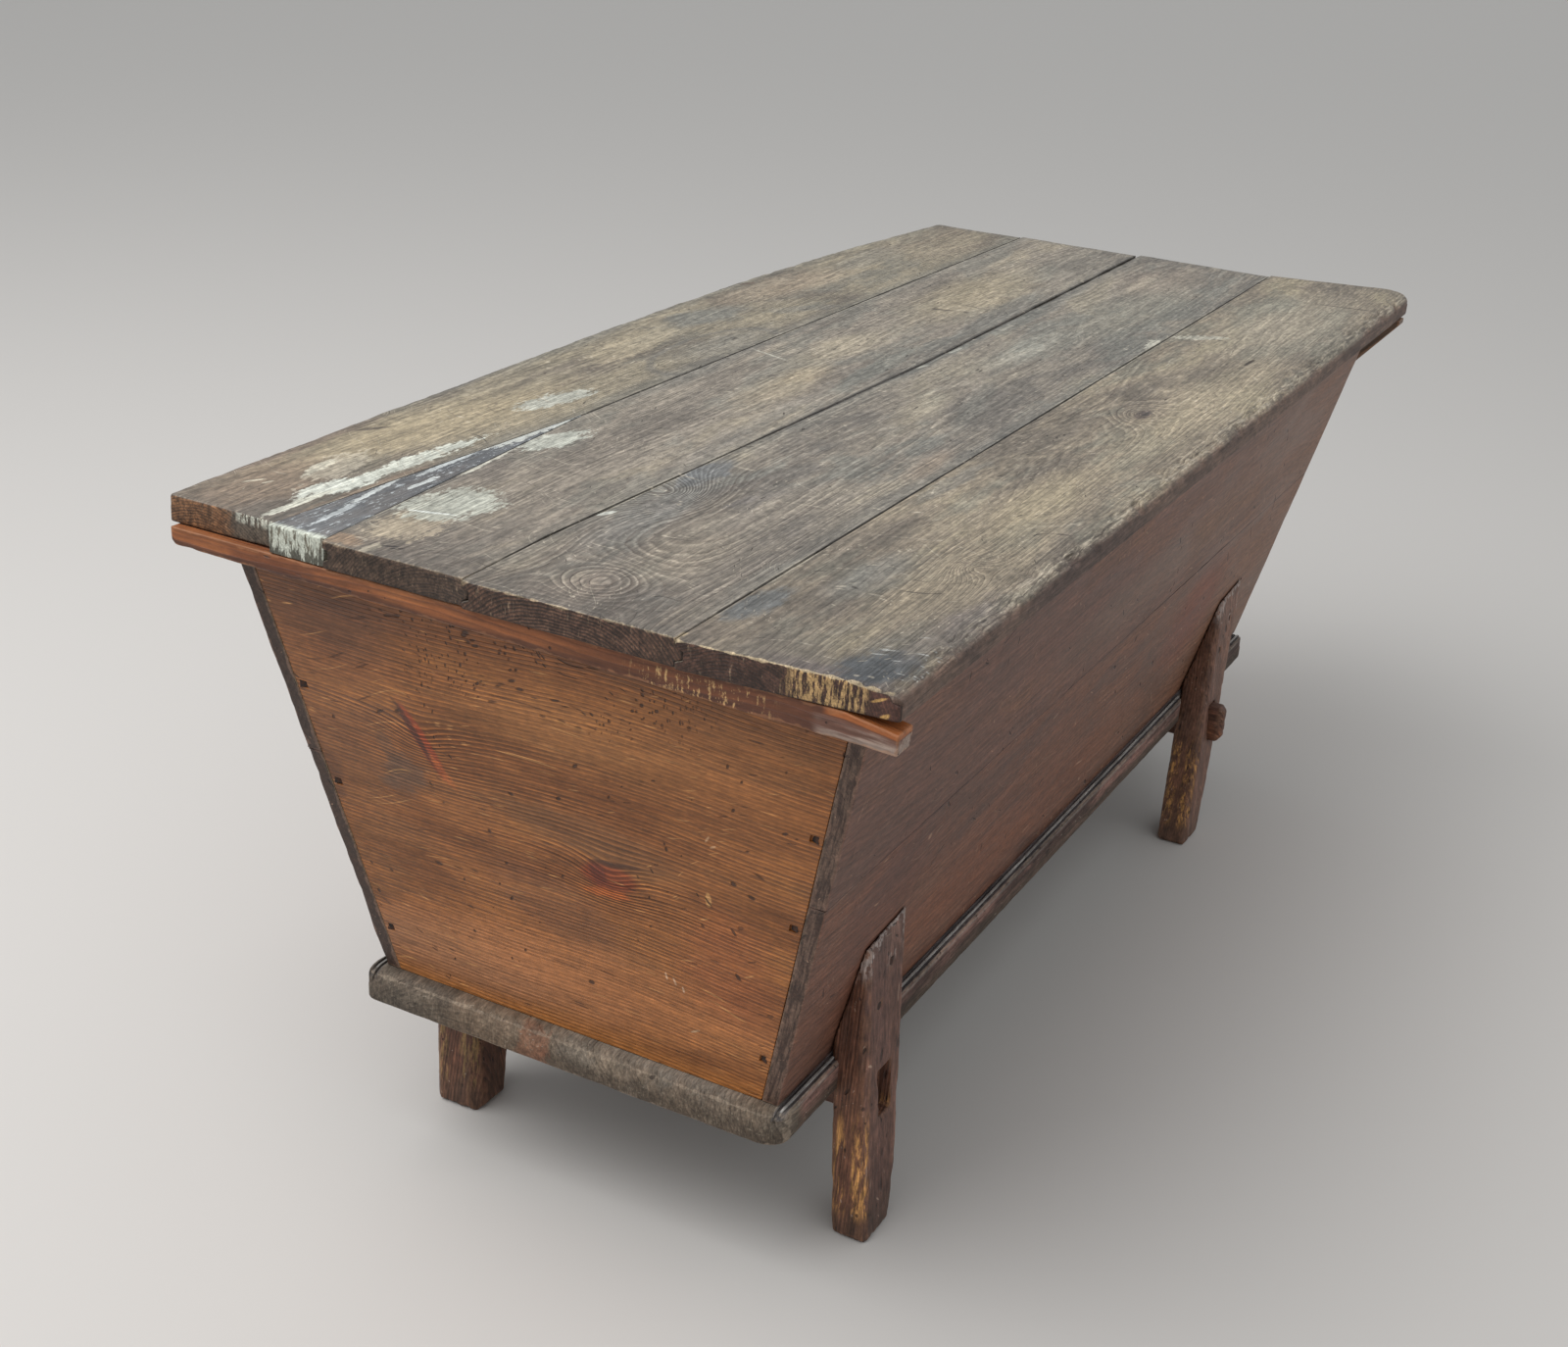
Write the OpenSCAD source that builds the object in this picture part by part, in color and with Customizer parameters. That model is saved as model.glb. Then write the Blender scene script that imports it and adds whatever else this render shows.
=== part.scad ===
// Old country dough bin: a nailed trough with sloping sides on four racked legs, under a lift-off lid.
// Millimetres, +Z up, X along the trough with the near end at -X, floor at z = 0.

/* [Trough] */
// Outside length of the trough where it stands on the bottom board
trough_low_len = 1296; // [1200:1:1400]
// How far each end of the trough leans out over its height
end_lean = 81; // [40:1:120]
// Outside width of the trough where it stands on the bottom board
trough_low_w = 412; // [380:1:450]
// How far each long side of the trough leans out over its height
side_lean = 96; // [60:1:120]
// Height of the trough from the bottom board to the rim
trough_h = 431; // [380:1:480]
// Thickness of the long side boards, measured level
side_t = 16; // [12:1:24]
// Thickness of the two end panels, measured level
end_t = 22; // [16:1:32]
// Height of the lower board of each long side
lower_side_h = 225; // [160:1:280]
// Break on the long edges of the side boards, which shows as a fine line at the seam
side_arris = 1; // [0.5:0.1:3]

/* [Bottom board] */
// Clear height under the bottom board
board_clear = 147; // [120:1:180]
// Thickness of the bottom board
board_t = 33; // [26:1:40]
// How far the bottom board runs past the trough at the near end
board_near_over = 17; // [8:1:60]
// How far the bottom board runs past the trough at the far end
board_far_over = 4; // [2:1:60]
// How far the bottom board's moulded edge stands out past the right side board
board_right_over = 12; // [10:1:30]
// How far the bottom board's moulded edge stands out past the left side board
board_left_over = 14; // [10:1:30]
// Radius of the near right corner of the bottom board, worn round, seen from above
board_worn_corner_r = 24; // [6:1:30]
// Radius of the other three corners of the bottom board, seen from above
board_corner_r = 12; // [6:1:30]
// Radius along the upper arris of the board's two ends
board_nose_r = 16; // [4:1:16]
// Radius along the lower arris of the board's two ends
board_under_r = 7; // [2:1:14]
// Radius along the upper arris of the two long edges
board_edge_r = 7; // [2:0.5:12]
// Width of each of the two grooves that form the bead along the long edges
bead_groove_w = 2.6; // [1:0.1:3]
// Depth of the bead grooves
bead_groove_d = 2.5; // [1:0.1:5]
// Width of the bead left standing between the two grooves
bead_w = 2.2; // [1:0.1:3]

/* [Lid] */
// Thickness of the lid planks
lid_t = 25; // [18:1:34]
// Plank widths at the near end, from the left edge to the right edge
plank_near_w = [141, 169, 190, 178]; // [80:1:260]
// Plank widths at the far end, from the left edge to the right edge
plank_far_w = [127, 169, 177, 178]; // [80:1:260]
// Overhang of the lid past the rim of the trough along the right side
lid_right_over = 29; // [5:1:60]
// How far the left edge bulges past a straight line at each sixth of its length
left_edge_bow = [0, 11, 20, 28, 31, 21.5, 0]; // [0:0.5:40]
// How far each plank runs past the rim at the near end, left plank first
plank_near_over = [19, 30, 34, 37]; // [5:1:60]
// How far each plank runs past the rim at the far end, left plank first, at the right edge of the last
plank_far_over = [11, 19, 26, 78]; // [5:1:80]
// How much the far end of the right edge plank slants back toward its joint
far_end_slant = 46; // [0:1:60]
// How much the near end of the right edge plank slants back toward the right edge
near_end_slant = 12; // [0:1:30]
// Length of the tongue along each plank joint
tongue_w = 7; // [4:0.5:12]
// Thickness of the tongue
tongue_t = 8; // [4:0.5:12]
// Play between a tongue and the groove that it lies in
tongue_play = 0.2; // [0:0.1:0.5]
// Radius on the upper arris of the planks' ends
plank_end_r = 5; // [1:0.5:10]
// Width of the rounding that wear has given the upper arris of the right edge
right_wear_w = 26; // [6:1:50]
// Depth of that rounding
right_wear_h = 13; // [4:1:18]
// Radius on the upper arris of the left edge of the lid
lid_left_r = 5; // [1:0.5:10]
// Radius on the lower arris of the planks' outer edges
lid_under_r = 3; // [1:0.5:8]
// Radius of the worn far corner at the right of the lid, seen from above
lid_far_corner_r = 36; // [10:1:60]
// Radius of the two near corners of the lid, seen from above
lid_near_corner_r = 5; // [2:1:20]
// Radius of the lid's far left corner, seen from above
lid_corner_r = 12; // [5:1:30]

/* [Repair lath] */
// Length of the tapered lath let into the first plank joint
lath_len = 412; // [200:1:700]
// Width of the lath cut from the left edge plank at the near end
lath_left_w = 27; // [10:1:40]
// Width of the lath cut from the second plank at the near end
lath_right_w = 29; // [10:1:40]
// How far the lath stands out past the end of the left edge plank
lath_proud = 8; // [0:1:12]

/* [Lid battens] */
// Thickness of each batten under the lid, along the trough
batten_t = 24; // [16:1:34]
// Height of the near batten at its right end
batten_h = 25; // [20:1:40]
// Height of the near batten at its left end
batten_left_h = 16; // [14:1:30]
// Distance of the near batten's left end in from the lid's left edge
batten_left_in = 9; // [0:1:30]
// Bevel under the left end of the near batten
batten_bevel = 5; // [2:1:12]
// Height of the far batten, a deeper board
far_batten_h = 80; // [40:1:90]
// Height of the square end that the far batten keeps above its slanted cut
far_batten_end_h = 6; // [3:1:20]
// Length of the slanted cut under each end of the far batten
far_batten_cut = 62; // [20:1:80]
// Clear gap between a batten and the end panel inside it, at the rim
batten_gap = 3; // [1:0.5:8]
// Overhang of the battens past the lid at its right edge
batten_over = 1; // [0:0.5:6]
// Length of the split that opened the right end of the near batten
split_len = 44; // [20:1:80]
// Height that broke away at the very end of the near batten
split_h = 8; // [2:1:12]

/* [Legs] */
// Height at which a leg runs out to a wedge against the side boards
leg_tip_h = 300; // [270:1:340]
// Thickness of the wedge where it ends
leg_tip_t = 3; // [1:0.5:8]
// Thickness of the two right legs, across the trough
right_leg_t = 38; // [30:1:50]
// Thickness of the two left legs, across the trough
left_leg_t = 53; // [30:1:60]
// Height at which the taper down to the foot begins
leg_knee_h = 60; // [40:1:100]
// Slope of the sawn tip across the width of a leg
leg_tip_slope = 10; // [0:1:20]
// Width of a leg at its tip, along the trough
leg_top_w = 80; // [60:1:95]
// Width of a leg at the knee
leg_knee_w = 66; // [55:1:80]
// Width of a leg at the floor
leg_foot_w = 54; // [40:1:70]
// Bevel on the long arrises of the two right legs
right_leg_arris = 5; // [2:0.5:12]
// Bevel on the long arrises of the two left legs, which are nearly round
left_leg_arris = 9; // [2:0.5:14]
// Worn bevel around the sole of a foot
foot_bevel = 3; // [2:0.5:12]
// Place of the near right foot's near edge, in from the near end of the trough
near_right_foot_in = 85; // [40:1:120]
// Place of the near left foot's near edge, in from the near end of the trough
near_left_foot_in = 60; // [30:1:100]
// Place of the two far feet's near edges, in from the far end of the trough
far_foot_in = 296; // [240:1:330]
// Lean of the near right leg along the trough over its height
near_right_lean = 10; // [0:1:30]
// Lean of the near left leg along the trough over its height
near_left_lean = 42; // [20:1:60]
// Lean of the two far legs along the trough over their height
far_lean = 96; // [60:1:120]
// How far the near right foot stands out past the foot of the side boards
near_right_foot_out = 56; // [40:1:80]
// How far the far right foot stands out past the foot of the side boards
far_right_foot_out = 52; // [40:1:80]
// How far the two left feet are tucked in behind it, because the frame is racked
left_foot_in = 7; // [0:1:30]
// Play on both sides of a leg in its notch in the bottom board
notch_play = 1.5; // [0.5:0.5:4]
// Wood left in the leg notches outside the side boards
notch_shelf = 3; // [1:0.5:6]
// Radius of the rounded noses that the bottom board ends in at the notches
notch_nose_r = 8; // [2:1:12]

/* [Cross rails] */
// Middle of the mortises, in from the near edge of the right legs
mortise_in = 37; // [30:1:48]
// Underside of both cross rails above the floor
rail_z = 118; // [100:1:125]
// Height of the cross rails
rail_h = 46; // [40:1:60]
// Thickness of the cross rails between the legs
rail_t = 36; // [28:1:44]
// Thickness of the through tenons
tenon_t = 22; // [16:1:28]
// Distance that the near right tenon stops inside the leg's face
tenon_sunk = 10; // [2:1:20]
// Distance that the far right tenon stands out past its leg
tenon_proud = 17; // [5:1:40]
// Distance that the left tenons stand out past their legs
left_tenon_proud = 8; // [2:1:16]
// Bevel around the end of the proud tenon
tenon_bevel = 6; // [2:1:10]
// Play around a tenon in its mortise, and of the rails in their housings
tenon_play = 0.5; // [0.2:0.1:1.5]

/* [Nails] */
// Width of a hand-made nail's square head
nail_head_w = 7; // [5:0.5:9]
// Thickness of a nail head
nail_head_t = 2; // [1:0.5:3]
// Thickness of a nail's square shank
nail_shank_w = 3.6; // [2.5:0.1:4.5]
// Depth that the nail heads are driven below the wood
nail_sunk = 1.6; // [0:0.1:3]
// Length of the toe nails through the end panels
end_nail_len = 38; // [30:1:42]
// Angle at which the end nails are driven toward the side boards
end_nail_angle = 22; // [15:1:28]
// Distance of the end nails from the side board
end_nail_in = 8; // [6:0.5:12]
// Height of the lowest end nail above the bottom board
end_nail_low = 48; // [30:1:90]
// Distance of the highest end nail below the rim
end_nail_high = 139; // [60:1:180]
// Length of the nails up through the bottom board
bottom_nail_len = 60; // [50:1:75]
// Distance of the outermost bottom nails from the trough's corners
bottom_nail_in = 40; // [30:1:60]
// Distance of the end panels' bottom nails from the centre line
bottom_nail_end_y = 110; // [60:1:150]
// Length of the nails through the legs' wedges
leg_nail_len = 20; // [16:1:24]
// Distance of the upper leg nail below the tip
leg_nail_drop = 38; // [30:1:60]
// Height between the two leg nails
leg_nail_rise = 32; // [20:1:50]
// Wood left in the planks above the batten nails' points
batten_nail_cover = 9; // [4:1:12]
// Distance of the batten nails from the edges of each plank
batten_nail_in = 38; // [25:1:50]

/* [Hidden] */

// Heights of the stack, from the floor up
board_top = board_clear + board_t;
rim_z = board_top + trough_h;
lid_top = rim_z + lid_t;
seam_z = board_top + lower_side_h;

// How much the trough flares per unit of height, at its ends and along its sides
end_flare = end_lean / trough_h;
side_flare = side_lean / trough_h;

// Length that is longer than any piece, for cuts that run right through
far_out = 3000;
// Facets along a quarter of a rounded edge
arc_steps = 6;
// Steps of the end nails up each side of an end panel
end_nail_steps = [0, 0.62, 1];
// Places of the bottom nails along each side, as shares of the half length
bottom_nail_steps = [-1, -0.45, 0, 0.45, 1];

// Long edges of the bottom board
board_right_y = -trough_low_w / 2 - board_right_over;
board_left_y = trough_low_w / 2 + board_left_over;
// A width that spans the bottom board and everything under the lid
board_w = board_left_y - board_right_y;
// Reach of a cut past the face that it starts from
cut_over = 1;

// Outer faces of the trough at height z
function end_x(z) = trough_low_len / 2 + (z - board_top) * end_flare;
function side_y(z) = trough_low_w / 2 + (z - board_top) * side_flare;

// Edges of the lid planks, joint 0 being the left edge and joint 4 the right edge
lid_right_y = side_y(rim_z) + lid_right_over;
function sum_from(list, i) = i >= len(list) ? 0 : list[i] + sum_from(list, i + 1);
function joint_near_y(i) = sum_from(plank_near_w, i) - lid_right_y;
function joint_far_y(i) = sum_from(plank_far_w, i) - lid_right_y;
function plank_near_x(i) = -end_x(rim_z) - plank_near_over[i];
function plank_far_x(i) = end_x(rim_z) + plank_far_over[i];
// The plank widths are measured at the ends of the first plank
function joint_y(i, x) = joint_near_y(i)
    + (joint_far_y(i) - joint_near_y(i)) * (x - plank_near_x(0)) / (plank_far_x(0) - plank_near_x(0));

// Points of an arc, from angle a to angle b
function arc(x, y, r, a, b) = [for (i = [0:arc_steps])
    let (t = a + (b - a) * i / arc_steps) [x + r * cos(t), y + r * sin(t)]];

// Points of a quarter of a flattened round, w wide and h high, that ends at the edge x
function worn_arc(x, z, w, h) = [for (i = [0:arc_steps])
    let (t = 90 * i / arc_steps) [x - w + w * cos(t), z - h + h * sin(t)]];

// Section of a plank from x0 to x1 and z0 to z1, with a radius at each corner, lower left first
function slab_section(x0, x1, z0, z1, r) = concat(
    arc(x0 + r[0], z0 + r[0], r[0], 180, 270),
    arc(x1 - r[1], z0 + r[1], r[1], 270, 360),
    arc(x1 - r[2], z1 - r[2], r[2], 0, 90),
    arc(x0 + r[3], z1 - r[3], r[3], 90, 180));

// A section drawn in X and Z, carried through along Y
module along_y() {
    translate([0, far_out / 2, 0])
        rotate([90, 0, 0])
            linear_extrude(far_out)
                children();
}

// A section drawn in Y and Z, carried through along X
module along_x() {
    translate([-far_out / 2, 0, 0])
        rotate([90, 0, 90])
            linear_extrude(far_out)
                children();
}

// Everything between the trough's end faces, set in by a level distance
module between_ends(inset) {
    low = end_x(0) - inset;
    high = end_x(lid_top) - inset;
    along_y()
        polygon([[-low, 0], [low, 0], [high, lid_top], [-high, lid_top]]);
}

// Everything between the trough's long faces, set in by a level distance
module between_sides(inset) {
    low = side_y(0) - inset;
    high = side_y(lid_top) - inset;
    along_x()
        polygon([[-low, 0], [low, 0], [high, lid_top], [-high, lid_top]]);
}

// The space that the trough fills, walls and hollow together
module trough_block() {
    intersection() {
        between_ends(0);
        between_sides(0);
        translate([-far_out / 2, -far_out / 2, board_top])
            cube([far_out, far_out, trough_h]);
    }
}

// One board of a long side, on the right (-1) or the left (1), with its long arrises broken
module side_board(side, z0, z1) {
    y0 = side_y(z0);
    y1 = side_y(z1);
    difference() {
        intersection() {
            mirror([0, side < 0 ? 1 : 0, 0])
                along_x()
                    polygon([[y0 - side_t, z0],
                             [y0 - side_arris, z0],
                             [side_y(z0 + side_arris), z0 + side_arris],
                             [side_y(z1 - side_arris), z1 - side_arris],
                             [y1 - side_arris, z1],
                             [y1 - side_t, z1]]);
            between_ends(0);
        }
        cut_nails();
    }
}

// One end panel, between the side boards, at the far end
module end_panel() {
    difference() {
        intersection() {
            along_y()
                polygon([[end_x(board_top) - end_t, board_top],
                         [end_x(board_top), board_top],
                         [end_x(rim_z), rim_z],
                         [end_x(rim_z) - end_t, rim_z]]);
            between_sides(side_t);
        }
        cut_nails();
    }
}

// All nails of the trough and legs, as the holes that they stand in
module cut_nails() {
    end_nail_set(-1, true);
    end_nail_set(1, true);
    bottom_nail_set(true);
    leg_nail_set(true);
}

// A square nail, driven along +Z from the wood's face at the origin, or the hole for it
module nail(length, hole) {
    head_top = hole ? -nail_head_w : nail_sunk;
    translate([-nail_head_w / 2, -nail_head_w / 2, head_top])
        cube([nail_head_w, nail_head_w, nail_sunk + nail_head_t - head_top]);
    translate([-nail_shank_w / 2, -nail_shank_w / 2, nail_sunk])
        cube([nail_shank_w, nail_shank_w, length - nail_sunk]);
}

// Toe nails up both sides of the end panel at the near end (-1) or the far end (1)
module end_nail_set(end, hole) {
    low_z = board_top + end_nail_low;
    high_z = rim_z - end_nail_high;
    for (side = [-1, 1], step = end_nail_steps) {
        z = low_z + (high_z - low_z) * step;
        translate([end * end_x(z), side * (side_y(z) - side_t - end_nail_in), z])
            rotate([0, 0, -end * side * end_nail_angle])
                rotate([0, -end * 90, 0])
                    nail(end_nail_len, hole);
    }
}

// Nails up through the bottom board into the side boards and end panels
module bottom_nail_set(hole) {
    reach = trough_low_len / 2 - bottom_nail_in;
    for (side = [-1, 1], step = bottom_nail_steps)
        translate([step * reach, side * (trough_low_w / 2 - side_t / 2), board_clear])
            nail(bottom_nail_len, hole);
    for (end = [-1, 1], side = [-1, 1])
        translate([end * (trough_low_len / 2 - end_t / 2), side * bottom_nail_end_y, board_clear])
            nail(bottom_nail_len, hole);
}

// The four legs as [foot edge x, lean along the trough, foot outer y, side, arris bevel, thickness]
low_end = trough_low_len / 2;
low_side = trough_low_w / 2;
near_right = [near_right_foot_in - low_end, near_right_lean, low_side + near_right_foot_out,
              -1, right_leg_arris, right_leg_t];
near_left = [near_left_foot_in - low_end, near_left_lean, low_side - left_foot_in,
             1, left_leg_arris, left_leg_t];
far_right = [low_end - far_foot_in, far_lean, low_side + far_right_foot_out,
             -1, right_leg_arris, right_leg_t];
far_left = [low_end - far_foot_in, far_lean, low_side - left_foot_in,
            1, left_leg_arris, left_leg_t];
all_legs = [near_right, near_left, far_right, far_left];

// Faces of a leg at height z: its edge toward the near end, its width, and its outer face
function leg_x(leg, z) = leg[0] + leg[1] * z / leg_tip_h;
function leg_w(z) = z < leg_knee_h
    ? leg_foot_w + (leg_knee_w - leg_foot_w) * z / leg_knee_h
    : leg_knee_w + (leg_top_w - leg_knee_w) * (z - leg_knee_h) / (leg_tip_h - leg_knee_h);
function leg_y(leg, z) = leg[2] + (side_y(leg_tip_h) + leg_tip_t - leg[2]) * z / leg_tip_h;

// A straight bar along the line from p to q, turned to cut a bevel of the given width
module bevel_bar(p, q, bevel) {
    run = q - p;
    level = norm([run[0], run[1]]);
    turn = atan2(run[1], run[0]);
    bar = bevel * sqrt(2);
    translate(p)
        rotate([0, atan2(level, run[2]), turn])
            rotate([0, 0, 45 - turn])
                translate([-bar / 2, -bar / 2, -leg_knee_h])
                    cube([bar, bar, norm(run) + 2 * leg_knee_h]);
}

// A leg before it is fitted, drawn on the left side
module leg_blank(leg) {
    top = leg_tip_h + leg_tip_slope / 2;
    low = leg_tip_h - leg_tip_slope / 2;
    intersection() {
        along_y()
            polygon([[leg_x(leg, 0) + foot_bevel, 0],
                     [leg_x(leg, 0) + leg_w(0) - foot_bevel, 0],
                     [leg_x(leg, foot_bevel) + leg_w(foot_bevel), foot_bevel],
                     [leg_x(leg, leg_knee_h) + leg_knee_w, leg_knee_h],
                     [leg_x(leg, top) + leg_w(top), top],
                     [leg_x(leg, low), low],
                     [leg_x(leg, foot_bevel), foot_bevel]]);
        along_x()
            polygon([[leg_y(leg, 0) - leg[5] + foot_bevel, 0],
                     [leg_y(leg, 0) - foot_bevel, 0],
                     [leg_y(leg, foot_bevel), foot_bevel],
                     [leg_y(leg, top), top],
                     [leg_y(leg, top) - leg[5], top],
                     [leg_y(leg, foot_bevel) - leg[5], foot_bevel]]);
    }
}

// The bevels along a leg's four long arrises, below and above the knee
module leg_bevels(leg) {
    for (depth = [0, leg[5]]) {
        foot = [leg_x(leg, 0), leg_y(leg, 0) - depth, 0];
        tip = [leg_x(leg, leg_tip_h), leg_y(leg, leg_tip_h) - depth, leg_tip_h];
        knee = [leg_x(leg, leg_knee_h) + leg_knee_w, leg_y(leg, leg_knee_h) - depth, leg_knee_h];
        bevel_bar(foot, tip, leg[4]);
        bevel_bar(foot + [leg_foot_w, 0, 0], knee, leg[4]);
        bevel_bar(knee, tip + [leg_top_w, 0, 0], leg[4]);
    }
}

// Inner wall of the leg notches, from the centre line
notch_y = side_y(board_top) + notch_shelf;

// A leg fitted under the bottom board, into its notch and against the side boards
module fitted_leg(leg, rail_x) {
    difference() {
        mirror([0, leg[3] < 0 ? 1 : 0, 0])
            difference() {
                leg_blank(leg);
                leg_bevels(leg);
                translate([-far_out / 2, -far_out, board_clear])
                    cube([far_out, far_out + notch_y, board_t]);
                translate([-far_out / 2, -far_out, board_top])
                    cube([far_out, far_out, trough_h]);
            }
        trough_block();
        tenon_bar(rail_x, tenon_play);
        leg_nail_set(true);
    }
}

// Outline from above of one leg's notch in the edge of the bottom board, on the left
module notch_outline(leg) {
    x0 = min(leg_x(leg, board_clear), leg_x(leg, board_top)) - notch_play;
    x1 = leg_x(leg, board_top) + leg_w(board_top) + notch_play;
    r = notch_nose_r;
    edge_y = leg[3] < 0 ? -board_right_y : board_left_y;
    translate([x0, notch_y])
        square([x1 - x0, board_w]);
    difference() {
        translate([x0 - r, edge_y - r])
            square([x1 - x0 + 2 * r, board_w]);
        for (x = [x0 - r, x1 + r])
            translate([x, edge_y - r])
                circle(r, $fn = 48);
    }
}

// Two nails through each leg's wedge into the side boards
module leg_nail_set(hole) {
    for (leg = all_legs, step = [0, 1]) {
        z = leg_tip_h - leg_nail_drop - step * leg_nail_rise;
        x = leg_x(leg, z) + leg_w(z) * (0.62 - 0.3 * step);
        translate([x, leg[3] * leg_y(leg, z), z])
            rotate([leg[3] * 90, 0, 0])
                nail(leg_nail_len, hole);
    }
}

// Middle height of the cross rails, where the tenons' lengths and places are measured
rail_mid_z = rail_z + rail_h / 2;
near_rail_x = leg_x(near_right, rail_mid_z) + mortise_in;
far_rail_x = leg_x(far_right, rail_mid_z) + mortise_in;

// The tenon of a cross rail as one bar right through, grown by a clearance
module tenon_bar(x, grow) {
    translate([x - tenon_t / 2 - grow, -board_w, rail_z - grow])
        cube([tenon_t + 2 * grow, 2 * board_w, rail_h + 2 * grow]);
}

// A cross rail's body between its two legs, grown by a clearance
module rail_body(x, right_leg, left_leg, grow) {
    difference() {
        translate([x - rail_t / 2 - grow, -board_w / 2, rail_z - grow])
            cube([rail_t + 2 * grow, board_w, rail_h + 2 * grow]);
        mirror([0, 1, 0])
            rail_shoulder(right_leg);
        rail_shoulder(left_leg);
    }
}

// The slope of a leg's inner face, which a rail's shoulder is cut to
module rail_shoulder(leg) {
    z0 = rail_z - board_t;
    z1 = rail_z + rail_h + board_t;
    along_x()
        polygon([[leg_y(leg, z0) - leg[5], z0],
                 [board_w, z0],
                 [board_w, z1],
                 [leg_y(leg, z1) - leg[5], z1]]);
}

// A cross rail: its body and a tenon from y0 on the right to y1 on the left
module cross_rail(x, right_leg, left_leg, y0, y1, bevel) {
    rail_body(x, right_leg, left_leg, 0);
    intersection() {
        tenon_bar(x, 0);
        translate([x, 0, 0])
            linear_extrude(lid_top)
                polygon([[-tenon_t, y0 + bevel],
                         [-tenon_t / 2, y0 + bevel],
                         [-tenon_t / 2 + bevel, y0],
                         [tenon_t / 2 - bevel, y0],
                         [tenon_t / 2, y0 + bevel],
                         [tenon_t, y0 + bevel],
                         [tenon_t, y1],
                         [-tenon_t, y1]]);
        along_x()
            polygon([[y0, rail_z + bevel],
                     [y0 + bevel, rail_z],
                     [y1, rail_z],
                     [y1, rail_z + rail_h],
                     [y0 + bevel, rail_z + rail_h],
                     [y0, rail_z + rail_h - bevel]]);
    }
}

// The bottom board before its moulding, notches and housings are cut
module board_blank() {
    x0 = -trough_low_len / 2 - board_near_over;
    x1 = trough_low_len / 2 + board_far_over;
    under = board_under_r;
    nose = board_nose_r;
    edge = board_edge_r;
    corner = board_corner_r;
    intersection() {
        along_y()
            polygon(slab_section(x0, x1, board_clear, board_top, [under, under, nose, nose]));
        along_x()
            polygon(slab_section(board_right_y, board_left_y, board_clear, board_top,
                                 [edge / 2, edge / 2, edge, edge]));
        linear_extrude(lid_top)
            polygon(slab_section(x0, x1, board_right_y, board_left_y,
                                 [board_worn_corner_r, corner, corner, corner]));
    }
}

// The two grooves along each long edge, just outside the side boards
module bead_grooves() {
    for (side = [-1, 1], step = [0, 1])
        translate([-far_out / 2,
                   side * (side_y(board_top) + bead_groove_w + step * (bead_groove_w + bead_w))
                       - bead_groove_w / 2,
                   board_top - bead_groove_d])
            cube([far_out, bead_groove_w, board_t]);
}

module bottom_board() {
    color([0.42, 0.33, 0.27])
        difference() {
            board_blank();
            bead_grooves();
            for (leg = all_legs)
                mirror([0, leg[3] < 0 ? 1 : 0, 0])
                    linear_extrude(lid_top)
                        notch_outline(leg);
            rail_body(near_rail_x, near_right, near_left, tenon_play);
            rail_body(far_rail_x, far_right, far_left, tenon_play);
            tenon_bar(near_rail_x, tenon_play);
            tenon_bar(far_rail_x, tenon_play);
            bottom_nail_set(true);
        }
}

module near_end_panel() {
    color([0.61, 0.38, 0.2])
        mirror([1, 0, 0])
            end_panel();
}

module far_end_panel() {
    color([0.58, 0.36, 0.2])
        end_panel();
}

module right_lower_side_board() {
    color([0.4, 0.27, 0.22])
        side_board(-1, board_top, seam_z);
}

module right_upper_side_board() {
    color([0.42, 0.3, 0.24])
        side_board(-1, seam_z, rim_z);
}

module left_lower_side_board() {
    color([0.4, 0.28, 0.22])
        side_board(1, board_top, seam_z);
}

module left_upper_side_board() {
    color([0.42, 0.3, 0.25])
        side_board(1, seam_z, rim_z);
}

module near_right_leg() {
    color([0.45, 0.29, 0.2])
        fitted_leg(near_right, near_rail_x);
}

module near_left_leg() {
    color([0.43, 0.28, 0.19])
        fitted_leg(near_left, near_rail_x);
}

module far_right_leg() {
    color([0.45, 0.3, 0.2])
        fitted_leg(far_right, far_rail_x);
}

module far_left_leg() {
    color([0.43, 0.28, 0.2])
        fitted_leg(far_left, far_rail_x);
}

module near_cross_rail() {
    color([0.4, 0.27, 0.19])
        cross_rail(near_rail_x, near_right, near_left,
                   -leg_y(near_right, rail_mid_z) + tenon_sunk,
                   leg_y(near_left, rail_mid_z) + left_tenon_proud, 0);
}

module far_cross_rail() {
    color([0.4, 0.27, 0.19])
        cross_rail(far_rail_x, far_right, far_left,
                   -leg_y(far_right, rail_mid_z) - tenon_proud,
                   leg_y(far_left, rail_mid_z) + left_tenon_proud, tenon_bevel);
}

module near_end_nails() {
    color([0.13, 0.11, 0.1])
        end_nail_set(-1, false);
}

module far_end_nails() {
    color([0.13, 0.11, 0.1])
        end_nail_set(1, false);
}

module bottom_nails() {
    color([0.13, 0.11, 0.1])
        bottom_nail_set(false);
}

module leg_nails() {
    color([0.13, 0.11, 0.1])
        leg_nail_set(false);
}

// Outline of plank i from above, grown by a given distance past its right joint
module plank_outline(i, grow) {
    x0 = plank_near_x(i);
    x1 = plank_far_x(i);
    spare = i == 0 ? max(left_edge_bow) + cut_over : 0;
    polygon([[x0, joint_y(i, x0) + spare],
             [x0, joint_y(i + 1, x0) - grow],
             [x1, joint_y(i + 1, x1) - grow],
             [x1, joint_y(i, x1) + spare]]);
}

// Plank i with its tongue, at mid-thickness
module tongue_zone(i) {
    translate([0, 0, rim_z + (lid_t - tongue_t) / 2])
        linear_extrude(tongue_t)
            plank_outline(i, tongue_w);
}

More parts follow.
